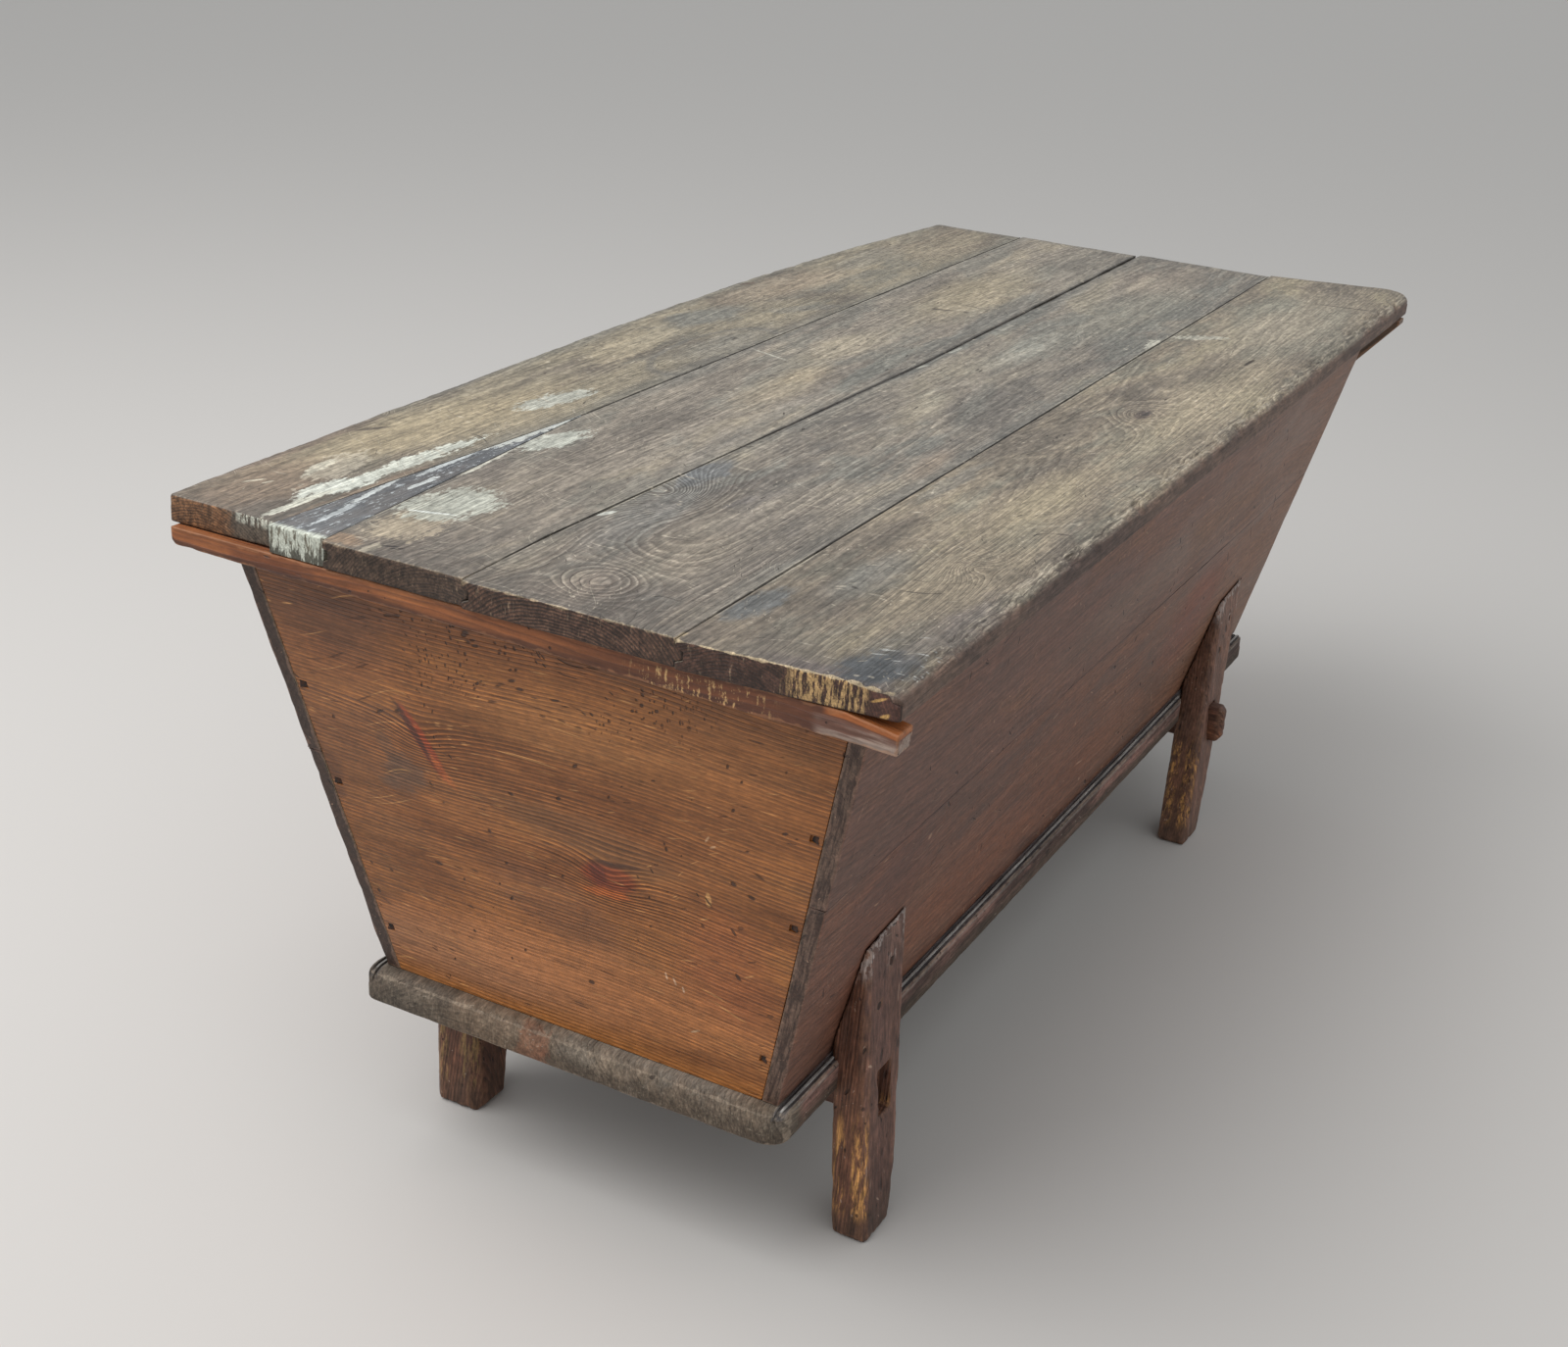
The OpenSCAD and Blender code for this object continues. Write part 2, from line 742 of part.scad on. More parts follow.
// The rounded ends that plank i is cut to
module plank_ends(i) {
    along_y()
        polygon(slab_section(plank_near_x(i), plank_far_x(i), rim_z, lid_top,
                             [lid_under_r, lid_under_r, plank_end_r, plank_end_r]));
}

// Plank i with a tongue on its right side and a groove in its left side
module plank(i, tongue, groove) {
    difference() {
        intersection() {
            union() {
                translate([0, 0, rim_z])
                    linear_extrude(lid_t)
                        plank_outline(i, 0);
                if (tongue)
                    tongue_zone(i);
            }
            plank_ends(i);
        }
        if (groove)
            tongue_groove(i);
        lath_shape();
        batten_nail_set(-1, true);
        batten_nail_set(1, true);
    }
}

// The groove in the left side of plank i, which holds the tongue of the plank before it
module tongue_groove(i) {
    depth = tongue_w + tongue_play;
    mid_z = rim_z + lid_t / 2 - tongue_t / 2 - tongue_play;
    x0 = -far_out / 2;
    x1 = far_out / 2;
    translate([0, 0, mid_z])
        linear_extrude(tongue_t + 2 * tongue_play)
            polygon([[x0, joint_y(i, x0) - depth],
                     [x1, joint_y(i, x1) - depth],
                     [x1, joint_y(i, x1) + lid_t],
                     [x0, joint_y(i, x0) + lid_t]]);
}

// The tapered lath, from the near end of the lid to its point in the first joint
module lath_shape() {
    x0 = plank_near_x(0) - lath_proud;
    x1 = x0 + lath_len;
    translate([0, 0, rim_z])
        linear_extrude(lid_t)
            polygon([[x0 - lid_t, joint_y(1, x0) + lath_left_w],
                     [x0 - lid_t, joint_y(1, x0) - lath_right_w],
                     [x0, joint_y(1, x0) - lath_right_w],
                     [x1, joint_y(1, x1)],
                     [x0, joint_y(1, x0) + lath_left_w]]);
}

// What is cut away along a rounded edge from p to q, where the waste is on the left
module edge_waste(p, q, upper_r) {
    run = q - p;
    translate([p[0], p[1], 0])
        rotate([0, 0, atan2(run[1], run[0])])
            along_x()
                difference() {
                    translate([-upper_r, rim_z - cut_over])
                        square([board_w, lid_t + 2 * cut_over]);
                    polygon(slab_section(-board_w, 0, rim_z, lid_top,
                                         [upper_r, lid_under_r, upper_r, upper_r]));
                }
}

// Point i of the bowed left edge of the lid, counted from the near end
function left_edge_point(i) =
    let (steps = len(left_edge_bow) - 1,
         x = plank_near_x(0) + (plank_far_x(0) - plank_near_x(0)) * i / steps)
    [x, joint_y(0, x) + left_edge_bow[i]];

// The right edge of the lid, worn round
module right_edge_round() {
    mirror([0, 1, 0])
        along_x()
            polygon(concat(
                [[-board_w, lid_top], [-board_w, rim_z]],
                arc(lid_right_y - lid_under_r, rim_z + lid_under_r, lid_under_r, 270, 360),
                worn_arc(lid_right_y, lid_top, right_wear_w, right_wear_h)));
}

module lid_left_edge_plank() {
    near = lid_near_corner_r;
    far = lid_corner_r;
    x0 = plank_near_x(0);
    x1 = plank_far_x(0);
    crown = board_w;
    color([0.55, 0.46, 0.38])
        difference() {
            intersection() {
                plank(0, true, false);
                linear_extrude(lid_top)
                    polygon(concat(
                        [[x0, -crown], [x1, -crown]],
                        arc(x1 - far, joint_y(0, x1) - far, far, 0, 90),
                        [[0, crown]],
                        arc(x0 + near, joint_y(0, x0) - near, near, 90, 180)));
            }
            for (i = [1:len(left_edge_bow) - 1])
                edge_waste(left_edge_point(i - 1), left_edge_point(i), lid_left_r);
        }
}

module lid_left_middle_plank() {
    color([0.52, 0.45, 0.38])
        plank(1, true, true);
}

module lid_right_middle_plank() {
    color([0.5, 0.43, 0.37])
        plank(2, true, true);
}

module lid_right_edge_plank() {
    near = lid_near_corner_r;
    far = lid_far_corner_r;
    x0 = plank_near_x(3);
    x1 = plank_far_x(3);
    worn_x = x0 + near_end_slant;
    color([0.53, 0.45, 0.38])
        difference() {
            intersection() {
                plank(3, false, true);
                right_edge_round();
                linear_extrude(lid_top)
                    polygon(concat(
                        arc(worn_x + near, -lid_right_y + near, near, 180, 270),
                        arc(x1 - far, -lid_right_y + far, far, 270, 360),
                        [[x1, board_w], [x0, board_w], [x0, joint_y(3, x0)]]));
            }
            edge_waste([x1 - far_end_slant, joint_y(3, x1)], [x1, -lid_right_y], plank_end_r);
            edge_waste([worn_x, -lid_right_y], [x0, joint_y(3, x0)], plank_end_r);
        }
}

module lid_repair_lath() {
    x0 = plank_near_x(0) - lath_proud;
    color([0.6, 0.58, 0.55])
        intersection() {
            lath_shape();
            translate([x0, -board_w, rim_z])
                cube([lath_len, 2 * board_w, lid_t]);
        }
}

// Inner face of both battens, from the middle of the trough
batten_x = end_x(rim_z) + batten_gap;
// Right end of both battens
batten_y0 = -lid_right_y - batten_over;

// A batten from its section along the lid's end, at the near end (-1) or the far end (1)
module batten(end) {
    difference() {
        intersection() {
            translate([end < 0 ? -batten_x - batten_t : batten_x, -board_w, 0])
                cube([batten_t, 2 * board_w, rim_z]);
            along_x()
                children();
        }
        batten_nail_set(end, true);
    }
}

// Left end of a batten, at the near end (-1) or the far end (1)
function batten_y1(end) = joint_y(0, end * batten_x) - batten_left_in;
// Underside of the near batten, which tapers toward its left end
function near_batten_z(y) = rim_z - batten_h
    + (batten_h - batten_left_h) * (y - batten_y0) / (batten_y1(-1) - batten_y0);

module near_lid_batten() {
    y0 = batten_y0;
    y1 = batten_y1(-1);
    color([0.6, 0.35, 0.2])
        batten(-1)
            polygon([[y0, rim_z - batten_h],
                     [y1 - batten_bevel, rim_z - batten_left_h],
                     [y1, rim_z - batten_left_h + batten_bevel],
                     [y1, rim_z],
                     [y0 + split_len, rim_z],
                     [y0, rim_z - split_h]]);
}

module far_lid_batten() {
    y0 = batten_y0;
    y1 = batten_y1(1);
    z0 = rim_z - far_batten_h;
    z1 = rim_z - far_batten_end_h;
    color([0.58, 0.35, 0.21])
        batten(1)
            polygon([[y0, rim_z],
                     [y0, z1],
                     [y0 + far_batten_cut, z0],
                     [y1 - far_batten_cut, z0],
                     [y1, z1],
                     [y1, rim_z]]);
}

// Place of a batten nail from the two edges of its plank, kept off the far batten's slanted cuts
function batten_nail_y(end, low_y, high_y, side) =
    let (reach = end < 0 ? 0 : far_batten_cut + nail_head_w,
         y = side * (high_y - batten_nail_in) + (1 - side) * (low_y + batten_nail_in))
    max(batten_y0 + reach, min(batten_y1(end) - reach, y));

// Two nails up through a batten into each plank, at the near end (-1) or the far end (1)
module batten_nail_set(end, hole) {
    x = end * (batten_x + batten_t / 2);
    for (i = [0:3], side = [0, 1]) {
        y = batten_nail_y(end, joint_y(i + 1, x), joint_y(i, x), side);
        z = end < 0 ? near_batten_z(y) : rim_z - far_batten_h;
        translate([x, y, z])
            nail(lid_top - batten_nail_cover - z, hole);
    }
}

module near_batten_nails() {
    color([0.13, 0.11, 0.1])
        batten_nail_set(-1, false);
}

module far_batten_nails() {
    color([0.13, 0.11, 0.1])
        batten_nail_set(1, false);
}

// Middle of the lid, which the origin lies under
middle_x = (plank_far_x(3) + plank_near_x(3)) / 2;
middle_y = (max([for (i = [0:len(left_edge_bow) - 1]) left_edge_point(i)[1]]) - lid_right_y) / 2;

// A piece in its place, measured from under the middle of the lid
module placed() {
    translate([-middle_x, -middle_y, 0])
        children();
}

placed() bottom_board();
placed() near_end_panel();
placed() far_end_panel();
placed() right_lower_side_board();
placed() right_upper_side_board();
placed() left_lower_side_board();
placed() left_upper_side_board();
placed() near_right_leg();
placed() near_left_leg();
placed() far_right_leg();
placed() far_left_leg();
placed() near_cross_rail();
placed() far_cross_rail();
placed() near_end_nails();
placed() far_end_nails();
placed() bottom_nails();
placed() leg_nails();
placed() lid_left_edge_plank();
placed() lid_left_middle_plank();
placed() lid_right_middle_plank();
placed() lid_right_edge_plank();
placed() lid_repair_lath();
placed() near_lid_batten();
placed() far_lid_batten();
placed() near_batten_nails();
placed() far_batten_nails();
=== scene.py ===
import math

import bmesh
import bpy
import numpy as np
from mathutils import Matrix, Vector, kdtree, noise


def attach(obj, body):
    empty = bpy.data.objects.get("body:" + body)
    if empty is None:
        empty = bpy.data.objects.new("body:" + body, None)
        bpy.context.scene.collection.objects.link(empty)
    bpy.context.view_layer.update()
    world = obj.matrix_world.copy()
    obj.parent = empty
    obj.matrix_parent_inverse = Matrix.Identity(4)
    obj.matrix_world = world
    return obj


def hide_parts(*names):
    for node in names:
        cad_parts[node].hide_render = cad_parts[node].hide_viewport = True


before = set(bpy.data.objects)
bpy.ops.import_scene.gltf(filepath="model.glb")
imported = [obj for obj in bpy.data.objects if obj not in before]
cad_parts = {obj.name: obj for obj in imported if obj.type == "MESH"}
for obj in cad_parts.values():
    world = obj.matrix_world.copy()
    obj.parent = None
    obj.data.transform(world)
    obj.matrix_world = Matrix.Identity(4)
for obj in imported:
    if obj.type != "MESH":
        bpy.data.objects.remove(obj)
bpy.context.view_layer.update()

# Camera
# It stands off the bin's near right corner, above the lid, where the photograph was taken from.
CAMERA_AT = (-2.0255, -0.88125, 1.234)
CAMERA_FORWARD = (0.8197, 0.4116, -0.3983)
CAMERA_RIGHT = (0.4713, -0.8799, 0.0607)
SENSOR_WIDTH = 36.0
FOCAL_LENGTH = 48.98


def set_out(name, data):
    """Sets an object out in the scene."""
    thing = bpy.data.objects.new(name, data)
    bpy.context.scene.collection.objects.link(thing)
    return thing


forward = Vector(CAMERA_FORWARD).normalized()
right = Vector(CAMERA_RIGHT)
right = (right - forward * right.dot(forward)).normalized()
up = right.cross(forward)
camera = set_out("camera", bpy.data.cameras.new("camera"))
camera.data.sensor_width = SENSOR_WIDTH
camera.data.lens = FOCAL_LENGTH
camera.data.clip_end = 50.0
camera.matrix_world = Matrix((
    (right.x, up.x, -forward.x, CAMERA_AT[0]),
    (right.y, up.y, -forward.y, CAMERA_AT[1]),
    (right.z, up.z, -forward.z, CAMERA_AT[2]),
    (0.0, 0.0, 0.0, 1.0),
))
bpy.context.scene.camera = camera
bpy.context.scene.view_settings.view_transform = "Standard"

# Bottom board
# One thick softwood board that the whole trough is nailed down on. Its ends are worn to a grey
# nose, a bead is ploughed along both long edges, and it is notched for the four legs.
MIDDLE_OF_LID = (20.5, 15.25)
RIM_REACH = 60.0
POCKET_HALF = 3.4
POCKET_DEEP = 2.3
BOARD_NEAR_X = -665.0
BOARD_FAR_X = 652.0
BOARD_RIGHT_Y = -218.0
BOARD_LEFT_Y = 220.0
BOARD_UNDER_Z = 147.0
BOARD_THICK = 33.0
NOTCH_Y = 209.0
NOTCH_NOSE = 8.0
NOTCHES_RIGHT = ((-560.1, -479.0), (396.0, 481.0))
NOTCHES_LEFT = ((-569.0, -487.0), (396.0, 481.0))
BEAD_GROOVES = ((207.3, 209.9), (212.1, 214.7))
BEAD_DEEP = 2.5
GROOVED_ROWS = 8.0
BOTTOM_NAIL_XS = (-608.0, -273.6, 0.0, 273.6, 608.0)
BOTTOM_NAIL_Y = 198.0
END_NAIL_X = 637.0
END_NAIL_Y = 110.0
CORNER_ROUND = 12.0
NEAR_RIGHT_ROUND = 24.0


def spread(low, high, step, rim=0.0, growth=0.0, stops=()):
    """Places from low to high, crowded at both ends, then a step apart that grows from low on."""
    places = [low, high]
    inner = 2.2 * rim
    for share in (0.07, 0.18, 0.34, 0.54, 0.77, 1.0, 1.5, 2.2):
        if rim:
            places += [low + rim * share, high - rim * share]
    at = low + inner
    while at < high - inner:
        places.append(at)
        at += step + growth * (at - low)
    kept = []
    for place in sorted(places):
        if not kept or place - kept[-1] > 0.02 * step:
            kept.append(place)
    clear = [p for p in kept if all(abs(p - s) > 0.12 for s in stops)]
    return np.array(sorted(clear + list(stops)))


def stops_round(places):
    """Lines of points on both sides of each nail, for the edges of its pocket."""
    reaches = (POCKET_HALF + 0.2, POCKET_HALF - 0.2)
    return [p + side * reach for p in places for side in (-1, 1) for reach in reaches]


def roughly(points, size, seed):
    """Smooth noise from -1 to 1 at each point, with lumps of the given size in millimetres."""
    scaled = points / size + np.array((seed * 7.31, seed * 3.17, seed * 5.71))
    return np.array([noise.noise(Vector(p)) for p in scaled])


def block_skin(counts):
    """Points and four-sided faces on the outside of a block of points."""
    shell = np.zeros(counts, bool)
    shell[[0, -1]] = True
    shell[:, [0, -1]] = True
    shell[:, :, [0, -1]] = True
    index = np.full(counts, -1)
    index[shell] = np.arange(shell.sum())
    faces = []
    for sheet, turned in (
        (index[-1], False), (index[0], True),
        (index[:, -1], True), (index[:, 0], False),
        (index[:, :, -1], False), (index[:, :, 0], True),
    ):
        corners = (sheet[:-1, :-1], sheet[1:, :-1], sheet[1:, 1:], sheet[:-1, 1:])
        quads = np.stack(corners, -1).reshape(-1, 4)
        faces.append(quads[:, ::-1] if turned else quads)
    return np.argwhere(shell), np.concatenate(faces)


def stand(name, mesh, attributes):
    """Stands a mesh in the scene, with the values that its material reads."""
    for key, values in attributes.items():
        vector = values.ndim == 2
        layer = mesh.attributes.new(key, "FLOAT_VECTOR" if vector else "FLOAT", "POINT")
        layer.data.foreach_set("vector" if vector else "value", values.ravel())
    mesh.shade_smooth()
    return set_out(name, mesh)


def new_piece(name, points, faces, attributes):
    """A mesh object from points in millimetres, with smooth faces and sharp arrises."""
    corners = points[faces]
    volume = np.einsum("ij,ij->", corners[:, 0], np.cross(corners[:, 1], corners[:, 2]))
    volume += np.einsum("ij,ij->", corners[:, 0], np.cross(corners[:, 2], corners[:, 3]))
    if volume < 0.0:
        faces = faces[:, ::-1]
    mesh = bpy.data.meshes.new(name)
    mesh.from_pydata((points / 1000.0).tolist(), [], faces.tolist())
    piece = stand(name, mesh, attributes)
    mesh.set_sharp_from_angle(angle=0.7)
    return piece


def rounded(at, run_low, run_high):
    """How far a place is into the rounding at either end of its range, from -1 to 1."""
    low, high = at.min() + run_low, at.max() - run_high
    return np.where(at > high, (at - high) / run_high, 0.0) + np.where(at < low, (at - low) / run_low, 0.0)


def rim_metres(rim):
    """How far points are from the nearest arris, as far as a material needs it."""
    return np.minimum(rim, RIM_REACH) / 1000.0


def worn_board(name, along, across, depth, place, grain, arris, wear, seed, edge=None, pockets=()):
    """A sawn board as a closed skin of points, its arrises worn round and uneven.

    arris gives the run and drop of the rounding at the near and far end and at the low and high
    side, and one radius for the arrises underneath. wear is how uneven these are, as a share,
    and how far the faces dip, in millimetres. edge moves the points of the two long sides, and
    pockets are the nails, as places along and across and the face that they are in.
    """
    where, faces = block_skin((len(along), len(across), len(depth)))
    s, c, d = along[where[:, 0]], across[where[:, 1]], depth[where[:, 2]]
    under_face, top_face = depth[0], depth[-1]
    middle = (under_face + top_face) / 2
    flat = np.stack((s, c, d), -1)
    gaps = np.minimum(flat - flat.min(0), flat.max(0) - flat)
    lumps = roughly(flat, 38.0, seed) + 0.6 * roughly(flat, 11.0, seed + 1)
    chips = np.clip(roughly(flat, np.array((17.0, 17.0, 60.0)), seed + 2) - 0.22, 0.0, 1.0) * 2.2
    uneven = np.clip(1.0 + wear[0] * (lumps + chips), 0.25, 3.0)
    upper = d > middle
    near, far, low, high = (
        np.where(upper, arris[k][0], arris["under"]) * uneven for k in ("near", "far", "low", "high"))
    at_end = np.where(s < (along[0] + along[-1]) / 2, arris["near"][1], arris["far"][1])
    low_half = c < (across[0] + across[-1]) / 2
    at_side = np.where(low_half, arris["low"][1], arris["high"][1])
    side_run = np.where(low_half, arris["low"][0], arris["high"][0])
    share = np.clip(1.8 - gaps[:, 1] / np.maximum(side_run, 0.1), 0.0, 1.0)
    drop = at_end + (at_side - at_end) * share * share * (3 - 2 * share)
    drop = np.where(upper, drop, arris["under"]) * uneven
    us, uc, ud = rounded(s, near, far), rounded(c, low, high), rounded(d, drop, drop)
    length = np.sqrt(us * us + uc * uc + ud * ud)
    shrink = 1.0 / np.maximum(length, 1.0) - 1.0
    s = s + us * shrink * np.where(us > 0, far, near)
    c = c + uc * shrink * np.where(uc > 0, high, low)
    d = d + ud * shrink * drop
    dips = 0.5 + 0.5 * roughly(flat, np.array((240.0, 70.0, 90.0)), seed + 3)
    d = middle + (d - middle) * (1.0 - 2.0 * wear[1] * dips / (top_face - under_face))
    if edge:
        c = edge(s, c, d, where[:, 2])
    for nail_s, nail_c, face in pockets:
        inside = (abs(flat[:, 0] - nail_s) < POCKET_HALF) & (abs(flat[:, 1] - nail_c) < POCKET_HALF)
        inside &= upper if face > 0 else ~upper
        inside &= abs(d - (top_face if face > 0 else under_face)) < 3.0
        d = np.where(inside, d - face * POCKET_DEEP, d)
    points = np.stack(place(s, c, d), -1)
    points[:, :2] -= MIDDLE_OF_LID
    return new_piece(name, points, faces, {
        "grain": np.stack(grain(points, d - top_face), -1) / 1000.0,
        "rim": rim_metres(np.sort(gaps, 1)[:, 1]),
        "cut": (gaps[:, 0] < 0.01).astype(float)})


def bottom_edges(s, c, d, row):
    """Cuts the notches for the legs into both long edges."""
    side = np.where(c < 0, -1.0, 1.0)
    out = abs(c)
    for notches, hand in ((NOTCHES_RIGHT, -1.0), (NOTCHES_LEFT, 1.0)):
        edge = -BOARD_RIGHT_Y if hand < 0 else BOARD_LEFT_Y
        for x0, x1 in notches:
            inside = np.minimum(s - x0, x1 - s) + NOTCH_NOSE
            turn = np.clip(inside, 0.0, NOTCH_NOSE)
            nose = edge - NOTCH_NOSE + np.sqrt(np.maximum(NOTCH_NOSE ** 2 - turn ** 2, 0.0))
            limit = np.where(inside > NOTCH_NOSE, NOTCH_Y, nose)
            out = np.where((side == hand) & (inside > 0.0), np.minimum(out, limit), out)
    return side * out


def corner_cut(radius, from_side):
    """How much a round corner takes off the end of a board, at points so far in from its side."""
    into = np.clip(radius - from_side, 0.0, radius)
    return radius - np.sqrt(radius ** 2 - into ** 2)


def bottom_place(s, c, d):
    """Sets the bottom board's points in place, its corners cut round and its bead ploughed."""
    from_side = np.minimum(c - BOARD_RIGHT_Y, BOARD_LEFT_Y - c)
    near_cut = corner_cut(np.where(c < 0, NEAR_RIGHT_ROUND, CORNER_ROUND), from_side)
    far_cut = corner_cut(CORNER_ROUND, from_side)
    share = (s - BOARD_NEAR_X) / (BOARD_FAR_X - BOARD_NEAR_X)
    x = s + near_cut * (1.0 - share) - far_cut * share
    groove = np.zeros_like(c)
    for low, high in BEAD_GROOVES:
        groove = np.where((abs(c) > low) & (abs(c) < high), BEAD_DEEP, groove)
    return x, c, BOARD_UNDER_Z + d - np.where(d > BOARD_THICK - GROOVED_ROWS, groove, 0.0)


bead_lines = [side * (line + gap) for side in (-1, 1) for low, high in BEAD_GROOVES
              for line, gap in ((low, -0.15), (low, 0.15), (high, -0.15), (high, 0.15))]
notch_lines = [x + side * gap for notch in NOTCHES_RIGHT + NOTCHES_LEFT for x, side in zip(notch, (-1, 1))
               for gap in (0.0, 0.4, 1.5, 3.0, 4.5, 6.0, 7.2, 8.0)]
bottom_nails = [(x, side * BOTTOM_NAIL_Y, -1) for x in BOTTOM_NAIL_XS for side in (-1, 1)]
bottom_nails += [(end * END_NAIL_X, side * END_NAIL_Y, -1) for end in (-1, 1) for side in (-1, 1)]
bottom_board = worn_board(
    "worn_bottom_board",
    spread(BOARD_NEAR_X, BOARD_FAR_X, 4.0, 16.0, 0.003,
           sorted(set(notch_lines + stops_round(BOTTOM_NAIL_XS + (-END_NAIL_X, END_NAIL_X))))),
    spread(BOARD_RIGHT_Y, BOARD_LEFT_Y, 7.0, 7.0, 0.0,
           bead_lines + stops_round((-BOTTOM_NAIL_Y, BOTTOM_NAIL_Y, -END_NAIL_Y, END_NAIL_Y))),
    spread(0.0, BOARD_THICK, 3.0, 7.0),
    bottom_place,
    lambda p, d: (p[:, 0], p[:, 1], p[:, 2] - BOARD_UNDER_Z),
    {"near": (14.0, 15.0), "far": (14.0, 15.0), "low": (6.0, 6.0), "high": (6.0, 6.0), "under": 5.0},
    (0.2, 0.7), 1, bottom_edges, bottom_nails)


def colour(red, green, blue):
    """A colour from 0 to 255 on a screen, as a shader takes it."""
    linear = [((v / 255 + 0.055) / 1.055) ** 2.4 if v > 10 else v / 3294.6 for v in (red, green, blue)]
    return (*linear, 1.0)


class Wire:
    """What a node puts out. A value goes into sums as a number does."""

    def __init__(self, bench, socket):
        self.bench = bench
        self.socket = socket

    def sum(self, operation, second=0.0):
        """The value in a sum with another."""
        return self.bench.sum(operation, self, second)

    def step(self, low, high, start=0.0, end=1.0):
        """A soft step from start to end, as the value goes from low to high."""
        sockets = {0: self, 1: low, 2: high, 3: start, 4: end}
        return self.bench.get("ShaderNodeMapRange", sockets, interpolation_type="SMOOTHSTEP")

    def fall(self, low, high):
        """A soft step from 1 down to 0, as the value goes from low to high."""
        return self.step(low, high, 1.0, 0.0)

    def __add__(self, other):
        return self.sum("ADD", other)

    def __sub__(self, other):
        return self.sum("SUBTRACT", other)

    def __rsub__(self, other):
        return self.bench.sum("SUBTRACT", other, self)

    def __mul__(self, other):
        return self.sum("MULTIPLY", other)

    def __truediv__(self, other):
        return self.sum("DIVIDE", other)

    def __pow__(self, other):
        return self.sum("POWER", other)

    def __lt__(self, other):
        return self.sum("LESS_THAN", other)

    def __abs__(self):
        return self.sum("ABSOLUTE")


class Bench:
    """Lays and joins the nodes of one material or one effect."""

    def __init__(self, tree):
        self.tree = tree

    def lay(self, kind, sockets, **settings):
        """One node, with its settings, and with its sockets filled or joined to."""
        node = self.tree.nodes.new(kind)
        for key, value in settings.items():
            setattr(node, key, value)
        for key, value in sockets.items():
            if isinstance(value, Wire):
                self.tree.links.new(value.socket, node.inputs[key])
            else:
                node.inputs[key].default_value = value
        return node

    def get(self, kind, sockets, output=0, **settings):
        """What one node puts out."""
        return Wire(self, self.lay(kind, sockets, **settings).outputs[output])

    def sum(self, operation, first, second):
        """A sum of two values."""
        return self.get("ShaderNodeMath", {0: first, 1: second}, operation=operation)

    def shift(self, operation, first, second):
        """A sum of two places."""
        return self.get("ShaderNodeVectorMath", {0: first, 1: second}, operation=operation)

    def scaled(self, place, share):
        """A place or a colour, multiplied by a value."""
        return self.get("ShaderNodeVectorMath", {0: place, "Scale": share}, operation="SCALE")

    def length(self, place):
        """How far a place is from the middle."""
        return self.get("ShaderNodeVectorMath", {0: place}, "Value", operation="LENGTH")

    def turned(self, place, angle):
        """A place, turned about the depth of the board."""
        sockets = {"Vector": place, "Axis": (0.0, 0.0, 1.0), "Angle": angle}
        return self.get("ShaderNodeVectorRotate", sockets)

    def parts(self, place):
        """The three parts of a place or a colour."""
        return [Wire(self, part) for part in self.lay("ShaderNodeSeparateXYZ", {0: place}).outputs]

    def between(self, share, under, upper):
        """One colour laid over another."""
        under, upper = (tint if isinstance(tint, Wire) else colour(*tint) for tint in (under, upper))
        return self.get("ShaderNodeMix", {0: share, 6: under, 7: upper}, 2, data_type="RGBA")

    def noise(self, place, scale, detail, rough=0.5, output=0):
        """Random clouds, so many in a metre."""
        sockets = {"Vector": place, "Scale": scale, "Detail": detail, "Roughness": rough}
        return self.get("ShaderNodeTexNoise", sockets, output)

    def cloud(self, place, stretch, detail=3.0, rough=0.55):
        """Random clouds, so many in a metre along, across and into a board."""
        return self.noise(self.shift("MULTIPLY", place, stretch), 1.0, detail, rough)

    def effect(self, group, sockets):
        """What a shared effect puts out, set in place with its own values."""
        node = self.lay("ShaderNodeGroup", sockets, node_tree=group)
        return {output.name: Wire(self, output) for output in node.outputs}

    def mark(self, name, output="Fac"):
        """A value that the mesh carries."""
        return self.get("ShaderNodeAttribute", {}, output, attribute_name=name)


def new_effect(name, takes, gives):
    """An effect that several materials share, with its named inputs and outputs."""
    group = bpy.data.node_groups.new(name, "ShaderNodeTree")
    for label, value in takes.items():
        kind = "NodeSocketVector" if isinstance(value, tuple) else "NodeSocketFloat"
        socket = group.interface.new_socket(label, in_out="INPUT", socket_type=kind)
        socket.default_value = value
    for label in gives:
        kind = "NodeSocketVector" if label == "Ragged" else "NodeSocketFloat"
        group.interface.new_socket(label, in_out="OUTPUT", socket_type=kind)
    bench = Bench(group)
    inlet = {output.name: Wire(bench, output) for output in bench.lay("NodeGroupInput", {}).outputs}
    return group, bench, inlet


# Growth rings and fibres of sawn softwood, run round any knots
softwood, bench, inlet = new_effect(
    "softwood",
    {"Grain": (0.0, 0.0, 0.0), "Heart": (0.0, 0.0, -0.08), "Tilt": 0.03, "Ring Width": 0.0035,
     "Wander": 0.012, "Knot": (9.0, 9.0, 0.0), "Knot Reach": 0.03, "Knot Push": 0.02,
     "Second Knot": (9.0, 9.0, 0.0), "Second Reach": 0.03, "Second Push": 0.02},
    ("Late Wood", "Pale Wood", "Fibre", "Streak", "Speck", "Cloud", "Blotch", "Ragged"))
grain = inlet["Grain"]
along, side, deep = bench.parts(bench.shift("SUBTRACT", grain, inlet["Heart"]))
drift = (bench.cloud(grain, (1.7, 0.9, 0.9), 1) - 0.5) * inlet["Wander"]
wave = (bench.cloud(grain, (7, 34, 34)) - 0.5) * 0.006
side = drift * 4.0 + side
deep = drift * 2 + (along * inlet["Tilt"] + deep)
ring = (side ** 2.0 + deep ** 2.0).sum("SQRT") + wave
strong = 1.0
